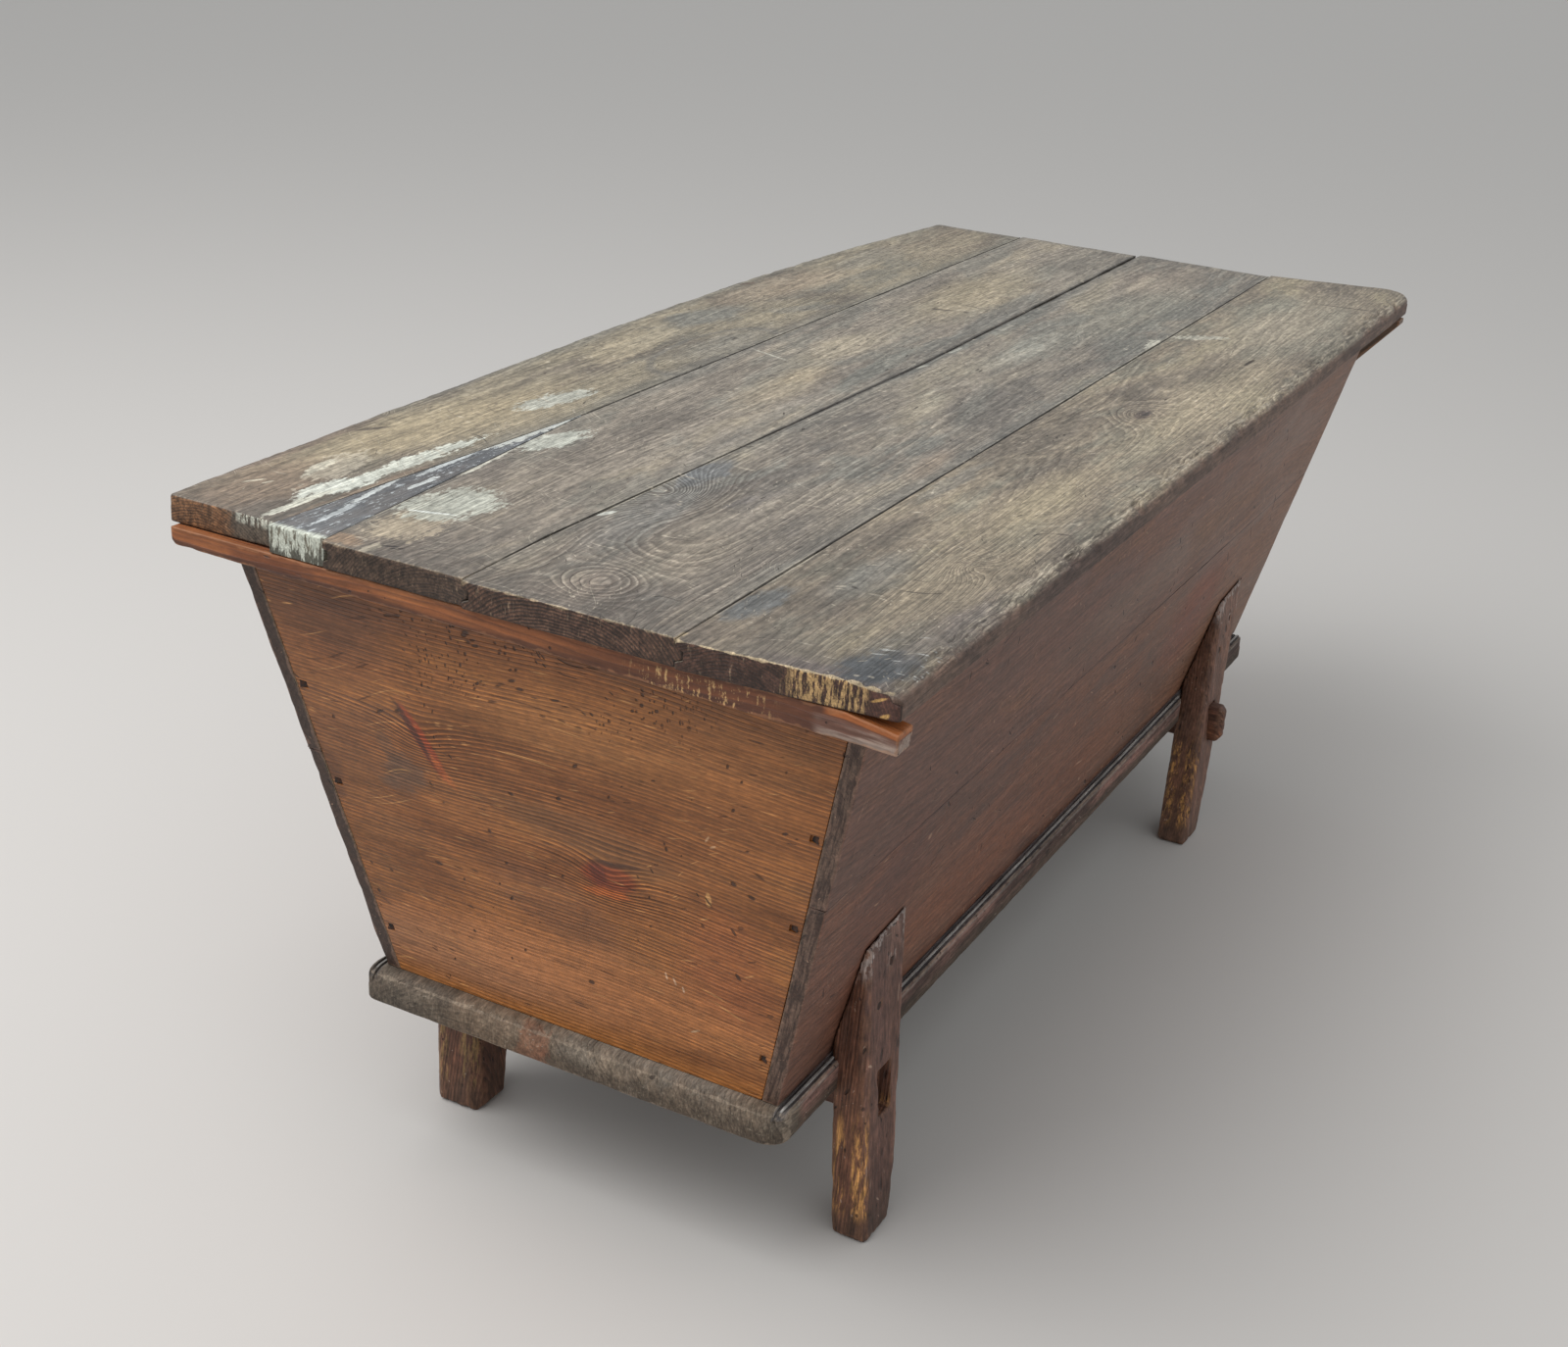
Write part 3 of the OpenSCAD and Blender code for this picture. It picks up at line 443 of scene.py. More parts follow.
for label, name in (("Knot", "Knot"), ("Second Knot", "Second")):
    off = bench.shift("MULTIPLY", bench.shift("SUBTRACT", grain, inlet[label]), (0.72, 1, 1))
    bulge = (bench.length(off) / inlet[name + " Reach"]) ** 2
    bulge = bench.sum("DIVIDE", 1, bulge + 1)
    ring = bulge ** 1.5 * inlet[name + " Push"] + ring
    strong = bulge * 2.2 + strong
count = ring / inlet["Ring Width"]
part = count.sum("FRACT")
year = bench.get("ShaderNodeTexWhiteNoise", {"W": count.sum("FLOOR")}, noise_dimensions="1D")
year = (year * 0.8 + 0.45) * strong
middle = (0.5, 0.5, 0.5)
warm = bench.shift("SUBTRACT", bench.noise(grain, 7, 2, output=1), middle)
drawn = bench.shift("ADD", grain, bench.shift("MULTIPLY", warm, (0.12, 0.05, 0.05)))
ragged = bench.noise(bench.shift("MULTIPLY", grain, (0.5, 1, 1)), 55, 6, 0.7, 1)
bench.lay("NodeGroupOutput", {
    "Late Wood": part ** 2.6 * part.fall(0.9, 1.0) * year,
    "Pale Wood": part.step(0.0, 0.12) * part.fall(0.18, 0.45) * year,
    "Fibre": bench.cloud(grain, (24, 520, 520), 4, 0.65),
    "Streak": bench.cloud(grain, (7, 75, 75), 4, 0.62),
    "Speck": bench.cloud(grain, (90, 190, 190), 5, 0.75),
    "Cloud": bench.cloud(drawn, (3.2, 12, 12), 6, 0.62),
    "Blotch": bench.cloud(bench.shift("ADD", drawn, (3.7, 1.9, 0.8)), (5, 18, 18), 5, 0.62),
    "Ragged": bench.shift("SUBTRACT", ragged, middle)})

# A stain, knot, paint or bare patch with a ragged or worn outline, at one place on a board
patch, bench, inlet = new_effect(
    "patch",
    {"Grain": (0.0, 0.0, 0.0), "Ragged": (0.0, 0.0, 0.0), "Fine": 0.5, "Centre": (0.0, 0.0, 0.0),
     "Reach": (0.05, 0.02, 9.0), "Turn": 0.0, "Edge": 0.01, "Worn": 0.0, "Soft": 0.25},
    ("Mask", "Outline"))
off = bench.shift("SUBTRACT", inlet["Grain"], inlet["Centre"])
off = bench.shift("ADD", off, bench.scaled(inlet["Ragged"], inlet["Edge"]))
gap = bench.length(bench.shift("DIVIDE", bench.turned(off, inlet["Turn"]), inlet["Reach"]))
mask = (1 - gap + (inlet["Fine"] - 0.5) * inlet["Worn"]) / inlet["Soft"]
bench.lay("NodeGroupOutput", {
    "Mask": (mask + 0.5).step(0, 1), "Outline": abs(gap - 1).fall(0, inlet["Soft"])})

# Short nicks and scratches, lying more or less one way
nicks, bench, inlet = new_effect(
    "nicks",
    {"Grain": (0.0, 0.0, 0.0), "Turn": 0.0, "Cells": (12.0, 160.0, 160.0), "Share": 0.1, "Width": 0.25},
    ("Mask",))
bent = bench.noise(inlet["Grain"], 6, 1) * 0.9 + (inlet["Turn"] - 0.45)
cells = bench.shift("MULTIPLY", bench.turned(inlet["Grain"], bent), inlet["Cells"])
cell = bench.lay("ShaderNodeTexVoronoi", {"Vector": cells, "Scale": 1}).outputs
picked = bench.parts(Wire(bench, cell["Color"]))
width = inlet["Width"] * (picked[1] * 0.8 + 0.5)
near = 1 - Wire(bench, cell["Distance"]) / width
bench.lay("NodeGroupOutput", {"Mask": near.step(0, 0.5) * (picked[0] < inlet["Share"])})

# Bare or chipped wood along the arrises
edge_wear, bench, inlet = new_effect(
    "edge wear",
    {"Grain": (0.0, 0.0, 0.0), "Rim": 0.06, "Reach": 0.005, "Grit": 90.0, "Ragged": 1.2},
    ("Mask",))
grit = (bench.noise(inlet["Grain"], inlet["Grit"], 5) - 0.5) * inlet["Ragged"]
near = inlet["Rim"] / inlet["Reach"] + grit * 4
bench.lay("NodeGroupOutput", {"Mask": near.fall(0.55, 1.15)})

# How ragged, worn and soft the outline of each kind of patch is, ragged being a share of its width
EDGES = {"soft": (1.6, 0.0, 1.2), "stain": (2.2, 0.8, 0.6), "paint": (2.3, 1.9, 0.28),
         "mark": (0.6, 0.4, 0.4), "ring": (0.5, 0.0, 0.13)}


class Finish(Bench):
    """A material, from its first node to its last."""

    def __init__(self, name):
        self.material = bpy.data.materials.new(name)
        self.material.use_nodes = True
        self.material.node_tree.nodes.clear()
        super().__init__(self.material.node_tree)

    def end(self, tone, rough, height, more):
        """Ends the material with its colour, roughness and relief."""
        bump = self.get("ShaderNodeBump", {"Height": height, "Distance": 1.0})
        surface = {"Base Color": tone, "Roughness": rough, "Normal": bump, **more}
        self.lay("ShaderNodeOutputMaterial", {"Surface": self.get("ShaderNodeBsdfPrincipled", surface)})


class Wood(Finish):
    """A wood material: its rings, colour clouds, streaks, fibres and specks, and what lies over them.

    clouds are three colours, darker, lighter and blotched. blotch, rings and uneven are how
    strongly the blotches, the dark and the pale part of each ring, and the streaks, fibres and
    specks show.
    """

    def __init__(self, name, early, late, ring, clouds, blotch, rings, uneven):
        super().__init__(name)
        self.grain = self.mark("grain", "Vector")
        self.figure = self.effect(softwood, {"Grain": self.grain, **ring})
        dark, pale, blotched = clouds
        self.tone = self.between(self["Cloud"].step(0.38, 0.54), dark, early)
        self.coat(self["Cloud"].step(0.51, 0.66), pale)
        self.coat(self["Blotch"].step(0.5, 0.62, 0.0, blotch), blotched)
        self.coat(self["Late Wood"] * rings[0], late)
        self.shade = self["Pale Wood"] * rings[1] + 1.0
        for label, amount in zip(("Streak", "Fibre", "Speck"), uneven):
            self.shade *= self[label].step(0.3, 0.7, 1.0 - amount, 1.0 + amount)

    def __getitem__(self, label):
        return self.figure[label]

    def coat(self, share, tint):
        """Lays a colour over, where and as strongly as the share says."""
        self.tone = self.between(share, self.tone, tint)

    def threads(self, stretch, detail, rough):
        """Random clouds in the board's own grain."""
        return self.cloud(self.grain, stretch, detail, rough)

    def patched(self, at_x, at_y, half_long, half_wide, turn, kind):
        """Mask of a patch, its place and half sizes in millimetres and its turn in degrees."""
        ragged, worn, soft = EDGES[kind]
        made = self.effect(patch, {
            "Grain": self.grain, "Ragged": self["Ragged"], "Fine": self["Speck"],
            "Centre": (at_x / 1000.0, at_y / 1000.0, 0.0), "Worn": worn, "Soft": soft,
            "Reach": (half_long / 1000.0, half_wide / 1000.0, 9.0), "Turn": -math.radians(turn),
            "Edge": ragged * min(half_long, half_wide, 16.0) / 800.0})
        return made["Outline" if kind == "ring" else "Mask"]

    def spots(self, patches):
        """Lays patches over, each with its strength and its colour last."""
        for *place, strength, tint in patches:
            self.coat(self.patched(*place) * strength, tint)

    def scored(self, turn, along, across, share, width):
        """Mask of short scratches or holes, with their turn in degrees, how many would lie in a
        metre along and across, the share of them that is there, and their width."""
        return self.effect(nicks, {
            "Grain": self.grain, "Turn": math.radians(turn), "Cells": (along, across, across),
            "Share": share, "Width": width})["Mask"]

    def scores(self, turn, along, across, share, width, strength, tint):
        """Lays short scratches or holes over, and gives their mask."""
        mask = self.scored(turn, along, across, share, width)
        self.coat(mask * strength, tint)
        return mask

    def worn_rim(self, reach, ragged=1.2, grit=90.0):
        """Mask of worn wood along the arrises, reach millimetres wide."""
        return self.effect(edge_wear, {
            "Grain": self.grain, "Rim": self.mark("rim"), "Reach": reach / 1000.0,
            "Ragged": ragged, "Grit": grit})["Mask"]

    def finish(self, rough, *layers):
        """Ends the material, each layer of its relief being a mask and its height in metres."""
        height = 0.0
        for mask, metres in layers:
            height = mask * metres + height
        self.end(self.scaled(self.tone, self.shade), rough, height, {"Specular IOR Level": 0.4})


def dress(piece, finish, body, slot, *nodes):
    """Gives a piece its material and its place in the bin."""
    piece.data.materials.clear()
    piece.data.materials.append(finish.material)
    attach(piece, body)
    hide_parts(*nodes)


wood = Wood(
    "weathered_board", (112, 97, 82), (70, 58, 50),
    {"Heart": (0.0, 0.09, -0.13), "Tilt": 0.02, "Ring Width": 0.0045, "Wander": 0.02},
    clouds=((92, 80, 69), (130, 116, 100), (106, 98, 88)), blotch=0.7, rings=(0.5, 0.1),
    uneven=(0.2, 0.28, 0.3))
along, across, deep = wood.parts(wood.grain)
# Long edges, with the ploughed bead, its pale ridge and the lip above it
out = abs(across + 0.01525)
on_side = out.step(0.2015, 0.2045)
inboard = along.fall(-0.64, -0.655)
edge_tone = wood.between(wood["Streak"].step(0.42, 0.6), (82, 60, 54), (126, 94, 84))
wood.coat(on_side * inboard, edge_tone)
bead = out.step(0.2055, 0.2065) * out.fall(0.2152, 0.2162) * deep.step(0.024, 0.027)
wood.coat(bead * 0.8, (92, 88, 88))
ridge = out.step(0.2092, 0.21) * out.fall(0.212, 0.213) * deep.step(0.031, 0.032)
wood.coat(ridge * 0.9, (178, 175, 170))
lip = out.step(0.2166, 0.2176) * deep.step(0.026, 0.03)
wood.coat(lip * 0.65, (142, 132, 124))
# Cleaner wood that the trough covers, and painted shade along the low part of the board
within = abs(along).fall(0.6, 0.612) * out.fall(0.17, 0.182) * deep.step(0.03, 0.035)
wood.coat(within * 0.8, (142, 120, 94))
painted_low_shade = (wood["Streak"] * 0.02 + deep).fall(0.018, 0.036)
wood.coat(painted_low_shade * 0.8, (74, 62, 51))
wood.spots((
    (-692, 14, 24, 15, 30, "stain", 0.65, (128, 76, 52)),
    (-672, 60, 30, 60, 0, "soft", 0.4, (120, 98, 78)),
    (-664, -110, 14, 90, 0, "soft", 0.6, (150, 143, 132)),
    (-670, 170, 30, 60, 0, "soft", 0.5, (84, 76, 68)),
))
# Grey nose of the near end, combed out along its grain
at_front = along.step(-0.66, -0.68)
combed = wood.threads((200, 620, 90), 4, 0.7)
wood.coat(combed.step(0.52, 0.64) * (at_front * 0.28), (150, 138, 120))
wood.coat(combed.step(0.46, 0.36) * (at_front * 0.3), (62, 52, 44))
wood.coat(wood.worn_rim(2.5) * 0.4, (156, 140, 122))
pits = wood.scores(0, 90, 160, 0.16, 0.3, 0.65, (58, 48, 42))
wood.scores(10, 60, 330, 0.14, 0.26, 0.5, (168, 156, 140))
wood.finish(
    0.78, (wood["Late Wood"], 0.0006), (wood["Fibre"], 0.0005), (wood["Streak"], 0.001), (pits, -0.0008))
dress(bottom_board, wood, "trough", "board_wood", "bottom_board")

# Cross rails and legs
# Hewn softwood. The legs are let into the board's edges, run out to a wedge that is nailed to the
# side boards, and carry two rails whose tenons go right through them.
VOXEL = 0.002
ARRIS_ANGLE = 0.35
ARRIS_STEP = 0.0025
HEWN_DIPS = 0.9
ARRIS_CHIP = 1.3


def hewn_piece(node, along_axis, seed):
    """A copy of a node's solid with its faces hewn uneven and its arrises worn."""
    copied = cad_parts[node].data.copy()
    body = bmesh.new()
    body.from_mesh(copied)
    bmesh.ops.remove_doubles(body, verts=body.verts, dist=0.00002)
    arrises = []
    for line in body.edges:
        if len(line.link_faces) == 2 and line.calc_face_angle(0.0) > ARRIS_ANGLE:
            first, last = (v.co for v in line.verts)
            steps = max(1, int((last - first).length / ARRIS_STEP))
            arrises += [first.lerp(last, step / steps) for step in range(steps + 1)]
    arris = kdtree.KDTree(len(arrises))
    for index, at in enumerate(arrises):
        arris.insert(at, index)
    arris.balance()
    body.to_mesh(copied)
    body.free()
    rough = set_out("rough", copied)
    remesh = rough.modifiers.new("remesh", "REMESH")
    remesh.mode = "VOXEL"
    remesh.voxel_size = VOXEL
    smooth = rough.modifiers.new("smooth", "SMOOTH")
    smooth.iterations = 2
    smooth.factor = 0.5
    bpy.context.view_layer.update()
    shown = rough.evaluated_get(bpy.context.evaluated_depsgraph_get())
    mesh = bpy.data.meshes.new_from_object(shown)
    bpy.data.objects.remove(rough)
    points = np.array([v.co for v in mesh.vertices]) * 1000.0
    normals = np.array([n.vector for n in mesh.vertex_normals])
    rim = np.array([arris.find(Vector(p))[2] for p in points / 1000.0]) * 1000.0
    lengths = np.where(np.arange(3) == along_axis, 60.0, 15.0)
    hollow = 0.5 + 0.5 * roughly(points, lengths, seed)
    fine = 0.5 + 0.5 * roughly(points, lengths / 3.0, seed + 1)
    broken = np.clip(roughly(points, lengths / 2.2, seed + 2) - 0.1, 0.0, 1.0)
    near = np.exp(-(rim / 4.0) ** 2)
    sink = HEWN_DIPS * (0.7 * hollow + 0.3 * fine) + ARRIS_CHIP * near * (0.25 + 2.2 * broken)
    points = points - normals * sink[:, None]
    mesh.vertices.foreach_set("co", (points / 1000.0).ravel())
    order = [along_axis] + [axis for axis in range(3) if axis != along_axis]
    mesh.name = "hewn_" + node
    return stand(mesh.name, mesh, {"grain": points[:, order] / 1000.0, "rim": rim_metres(rim)})


for number, (node, foot_x) in enumerate((
        ("near_right_leg", -0.5835), ("near_left_leg", -0.6085), ("far_right_leg", 0.3315),
        ("far_left_leg", 0.3315), ("near_cross_rail", 0.0), ("far_cross_rail", 0.0))):
    rail = "rail" in node
    side = 1.0 if "left" in node else -1.0
    wood = Wood(
        node + "_wood", (110, 72, 53), (54, 34, 28),
        {"Heart": (0.0, foot_x + 0.02, side * 0.11), "Tilt": 0.05, "Ring Width": 0.0034, "Wander": 0.01},
        clouds=((84, 54, 42), (126, 82, 57), (98, 70, 60)), blotch=0.6, rings=(0.75, 0.15),
        uneven=(0.26, 0.34, 0.34))
    # Legs are mauve outside, dark at the foot, split to bare wood and frayed at the tip
    height_up = wood.parts(wood.grain)[0]
    lengthwise, sideways, _ = wood.parts(wood.get("ShaderNodeNewGeometry", {}, "True Normal"))
    if not rail:
        mauve = wood.between(wood["Cloud"].step(0.4, 0.6), (98, 70, 62), (122, 90, 78))
        wood.coat((sideways * side).step(0.45, 0.8) * 0.75, mauve)
        if node.startswith("far"):
            wood.coat(0.3, (128, 92, 70))
        foot = (wood["Streak"] * 0.08 + height_up).fall(0.045, 0.1)
        wood.coat(foot * 0.6, (76, 58, 46))
        gold = wood.threads((22, 240, 240), 5, 0.75).step(0.48, 0.56) * height_up.fall(0.1, 0.14)
        gold *= wood.mark("rim").fall(0.007, 0.013) * height_up.step(0.016, 0.034)
        gold *= lengthwise.step(-0.2, -0.5)
        bare_tone = (132, 104, 66) if node == "near_left_leg" else (200, 146, 84)
        wood.coat(gold * 0.85, bare_tone)
        tip = (wood["Streak"] * 0.06 + height_up).step(0.285, 0.315)
        wood.coat(tip * 0.2, (116, 98, 92))
        frayed = wood.worn_rim(5, 1.6, 160) * tip
        wood.coat(frayed * 0.7, (168, 156, 150))
    wood.coat(wood.worn_rim(2.6, 1.4, 70) * 0.4, (118, 84, 62))
    dents = wood.scores(12, 26, 95, 0.2, 0.26, 0.7, (46, 31, 26))
    cuts = wood.scores(0, 60, 190, 0.16, 0.3, 0.75, (44, 32, 28))
    wood.scores(24, 34, 300, 0.1, 0.3, 0.55, (172, 148, 130))
    wood.finish(
        0.55, (wood["Late Wood"], 0.0005), (wood["Fibre"], 0.0003), (wood["Streak"], 0.0008),
        (cuts, -0.0012), (dents, -0.002))
    dress(hewn_piece(node, 1 if rail else 2, 20 + 5 * number), wood, "trough", "leg_wood", node)

# End panels
# One wide softwood board at each end, leaning outward. It stands on the bottom board, between the
# side boards, with three hand-made nails up each side of it.
BOARD_TOP_Z = 180.0
TROUGH_HIGH = 431.0
TROUGH_HALF_LONG = 648.0
TROUGH_HALF_WIDE = 206.0
END_LEAN = 81.0
SIDE_LEAN = 96.0
END_THICK = 22.0
SIDE_THICK = 16.0
END_NAIL_ZS = (228.0, 378.04, 472.0)
END_NAIL_IN = 8.0
PANEL_PLAY = 0.25
PANEL_HALF = 238.0


def end_x(z):
    """Outer face of an end panel, measured from the middle of the trough."""
    return TROUGH_HALF_LONG + (z - BOARD_TOP_Z) * END_LEAN / TROUGH_HIGH


def side_y(z):
    """Outer face of a side board, measured from the middle of the trough."""
    return TROUGH_HALF_WIDE + (z - BOARD_TOP_Z) * SIDE_LEAN / TROUGH_HIGH


def panel_half_wide(z):
    """Half the width of an end panel, which just clears the side boards."""
    return side_y(z) - SIDE_THICK - PANEL_PLAY


def panel_place(end):
    """Where the points of the near or far end panel go."""
    def place(s, c, d):
        z = BOARD_TOP_Z + c
        y = s / PANEL_HALF * panel_half_wide(z)
        return end * (end_x(z) - END_THICK + d), y, z
    return place


nail_places = []
for z in END_NAIL_ZS:
    for side in (-1, 1):
        y = side * (side_y(z) - SIDE_THICK - END_NAIL_IN)
        nail_places.append((y / panel_half_wide(z) * PANEL_HALF, z - BOARD_TOP_Z))
for end, label in ((-1, "near"), (1, "far")):
    flip = 1.0 if end < 0 else -1.0
    wood = Wood(
        label + "_panel_wood", (147, 92, 47), (102, 59, 31),
        {"Heart": (0.0, -1.2, -0.35), "Tilt": 0.0, "Ring Width": 0.0039, "Wander": 0.016,
         "Knot": (-0.068 * flip, 0.369, 0.0), "Knot Reach": 0.028, "Knot Push": 0.018,
         "Second Knot": (0.112 * flip, 0.452, 0.0), "Second Reach": 0.026, "Second Push": 0.014},
        clouds=((118, 71, 35), (164, 106, 53), (122, 80, 44)), blotch=0.6, rings=(0.8, 0.4),
        uneven=(0.12, 0.2, 0.22))
    along, across, deep = wood.parts(wood.grain)
    # Shade under the lid, and a lighter strip at the foot
    shaded = (wood["Cloud"] * 0.09 + across).step(0.565, 0.645)
    wood.coat(shaded * 0.65, (92, 52, 28))
    strip = (wood["Streak"] * 0.02 + across).fall(0.19, 0.215)
    wood.coat(strip * 0.65, (180, 116, 60))
    wood.spots([(at * flip, *rest) for at, *rest in (
        (205, 500, 70, 110, -10, "soft", 0.42, (110, 69, 46)),
        (190, 545, 60, 26, 8, "soft", 0.45, (80, 52, 38)),
        (222, 378, 16, 26, 20, "stain", 0.5, (80, 50, 36)),
        (150, 560, 60, 12, 0, "stain", 0.4, (88, 56, 40)),
        (-55, 402, 80, 20, 4, "stain", 0.45, (104, 72, 46)),
        (-10, 318, 66, 32, 18, "stain", 0.36, (108, 69, 48)),
        (90, 226, 140, 34, -3, "soft", 0.6, (150, 104, 74)),
        (-60, 250, 170, 34, 0, "soft", 0.7, (174, 112, 66)),
        (-60, 500, 120, 30, 2, "soft", 0.4, (168, 114, 66)),
        (-190, 500, 60, 60, 0, "soft", 0.3, (164, 106, 60)),
        # The long dark band along the top is painted shade under the batten.
        (0, 590, 200, 18, 0, "soft", 0.4, (116, 72, 40)),
        (-180, 310, 40, 50, 0, "soft", 0.4, (152, 84, 50)),
        (-68, 369, 27, 14, -6, "mark", 0.75, (122, 54, 30)),
        (-58, 369, 10, 9, 0, "stain", 0.7, (84, 38, 28)),
        (-76, 384, 26, 3.5, -8, "mark", 0.7, (68, 40, 26)),
        (-66, 352, 22, 5, -4, "stain", 0.6, (180, 92, 40)),
        (136, 409, 26, 18, -30, "stain", 0.65, (84, 66, 54)),
        (148, 430, 20, 8, 60, "stain", 0.5, (92, 66, 48)),
        (110, 450, 38, 7, 58, "mark", 0.8, (138, 58, 32)),
        (118, 456, 34, 3.2, 58, "stain", 0.8, (64, 38, 28)),
        (92, 424, 18, 4, 50, "stain", 0.5, (176, 98, 50)),
        (-164, 379, 2.8, 7, 0, "mark", 0.7, (200, 150, 94)),
        (-166, 440, 3.9, 1.0, -60, "mark", 0.6, (196, 156, 118)),
        (-171, 434, 3.2, 1.0, -30, "mark", 0.6, (196, 156, 118)),
        (-118, 283, 3.9, 1.0, 80, "mark", 0.6, (200, 168, 140)),
        (-126, 280, 3.9, 1.0, 70, "mark", 0.6, (200, 168, 140)),
        (-134, 274, 3.2, 1.0, 80, "mark", 0.6, (206, 176, 150)),
        (-143, 232, 5.2, 1.0, -30, "mark", 0.6, (206, 176, 140)))])
    wood.coat(deep < -0.0135, (146, 124, 96))
    # Worm holes, crowded near the top, and small dashes and rubs
    swarm = wood.scored(0, 165, 165, 0.8, 0.34) * wood.patched(-5 * flip, 560, 160, 52, 0, "stain")
    holes = wood.scored(0, 80, 80, 0.22, 0.2).sum("MAXIMUM", swarm)
    wood.coat(holes * 0.85, (50, 30, 22))
    dashes = wood.scores(0, 42, 260, 0.12, 0.28, 0.6, (66, 38, 24))
    wood.scores(5, 30, 420, 0.2, 0.28, 0.5, (204, 150, 92))
    wood.finish(
        wood["Cloud"].step(0.3, 0.7, 0.52, 0.4), (wood["Late Wood"], 0.0005), (wood["Fibre"], 0.00012),
        (wood["Cloud"], 0.0012), (holes, -0.001), (dashes, -0.0006))
    panel = worn_board(
        label + "_end_board",
        spread(-PANEL_HALF, PANEL_HALF, 5.0, 2.0, 0.0, stops_round([n[0] for n in nail_places])),
        spread(0.0, TROUGH_HIGH, 5.0, 2.0, 0.0, stops_round([n[1] for n in nail_places[::2]])),
        spread(0.0, END_THICK, 4.0, 1.0),
        panel_place(end),
        lambda p, d: (p[:, 1], p[:, 2], d),
        {"near": (0.6, 0.6), "far": (0.6, 0.6), "low": (0.6, 0.6), "high": (1.0, 1.0), "under": 0.6},
        (0.3, 0.7), 3, pockets=[(*n, 1) for n in nail_places])
    dress(panel, wood, "trough", "end_panel_wood", label + "_end_panel")

# Side boards
# Two long softwood boards a side, edge to edge and leaning outward. They run a little past the end
# panels, where their sawn ends show, and are nailed to them.
SEAM_Z = 405.0
RIM_Z = 611.0


def side_place(side, low_z):
    """Where the points of one side board go."""
    def place(s, c, d):
        z = low_z + c
        x = s / TROUGH_HALF_LONG * end_x(z)
        return x, side * (side_y(z) - SIDE_THICK + d), z
    return place


for side, hand in ((-1, "right"), (1, "left")):
    for level, low_z, high_z, early, seed in (
            ("lower", BOARD_TOP_Z, SEAM_Z, (121, 81, 63), 60), ("upper", SEAM_Z, RIM_Z, (114, 80, 67), 64)):
        wood = Wood(
            f"{hand}_{level}_wood", early, (72, 47, 38),
            {"Heart": (0.0, low_z / 1000.0 - 0.05, -0.16), "Tilt": 0.03, "Ring Width": 0.0048,
             "Wander": 0.02},
            clouds=((102, 71, 58), (124, 88, 70), (100, 74, 64)), blotch=0.4, rings=(0.45, 0.1),
            uneven=(0.14, 0.22, 0.26))
        along, across, deep = wood.parts(wood.grain)
        wood.coat(along.step(-0.3, 0.75, 0, 0.5), (132, 96, 72))
        wood.spots((
            (285, 330, 90, 60, 0, "soft", 0.55, (124, 62, 42)),
            (-250, 250, 330, 36, 0, "soft", 0.5, (134, 82, 56)),
            (-560, 330, 90, 90, 0, "soft", 0.4, (98, 62, 52)),
            (100, 470, 330, 36, 2, "soft", 0.35, (128, 100, 82)),
        ))
        wood.coat(deep < -0.0135, (150, 132, 108))
        # Sawn ends, dark and split upright, and chipped arrises near them
        sawn = wood.mark("cut").step(0.3, 0.8)
        upright = wood.threads((30, 40, 380), 4, 0.65)
        end_tone = wood.between(upright.step(0.4, 0.62), (52, 38, 32), (100, 80, 68))
        if hand == "left":
            end_tone = (50, 38, 32)
        wood.coat(sawn * 0.9, end_tone)
        wood.coat(wood.worn_rim(2.2, 1.8, 60) * abs(along).step(0.62, 0.66) * 0.45, (134, 104, 88))
        # Dark line of the seam, then cuts, rubs and flecks
        seam = abs(across - SEAM_Z / 1000.0)
        wood.coat(seam.step(0.0004, 0.0016, 0.55, 0), (58, 40, 36))
        cuts = wood.scores(38, 34, 110, 0.14, 0.25, 0.8, (50, 34, 30))
        wood.scores(8, 9, 330, 0.14, 0.26, 0.4, (152, 120, 100))
        wood.scores(34, 50, 260, 0.1, 0.26, 0.55, (186, 150, 124))
        wood.finish(
            wood["Cloud"].step(0.3, 0.7, 0.42, 0.56), (wood["Late Wood"], 0.00025), (wood["Fibre"], 0.0001),
            (wood["Streak"], 0.0005), (cuts, -0.001))
        board = worn_board(
            f"{hand}_{level}_board",
            spread(-TROUGH_HALF_LONG, TROUGH_HALF_LONG, 3.5, 4.0, 0.004),
            spread(0.0, high_z - low_z, 6.0, 1.2),
            spread(0.0, SIDE_THICK, 3.0, 3.0),
            side_place(side, low_z),
            lambda p, d: (p[:, 0], p[:, 2], d),
            {"near": (3.0, 3.0), "far": (3.0, 3.0), "low": (0.9, 0.9), "high": (0.9, 0.9), "under": 0.8},
            (0.7, 0.8), seed + side)
        dress(board, wood, "trough", "side_board_wood", f"{hand}_{level}_side_board")

# Nails
# Hand-made square iron nails in the end panels, the legs, the battens and the bottom board. They
# are rusted nearly black and driven a little below the wood.
iron = Finish("rusty_iron")
rust = iron.cloud(iron.get("ShaderNodeTexCoord", {}, "Object"), (260, 260, 260), 5)
iron.end(iron.between(rust.step(0.35, 0.65), (38, 34, 34), (78, 52, 40)),
         rust.step(0.3, 0.7, 0.55, 0.85), rust * 0.0006, {"Metallic": 0.4})
for place in ("near_end", "far_end", "bottom", "leg", "near_batten", "far_batten"):
    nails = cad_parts[place + "_nails"]
    nails.data.materials.clear()
    nails.data.materials.append(iron.material)

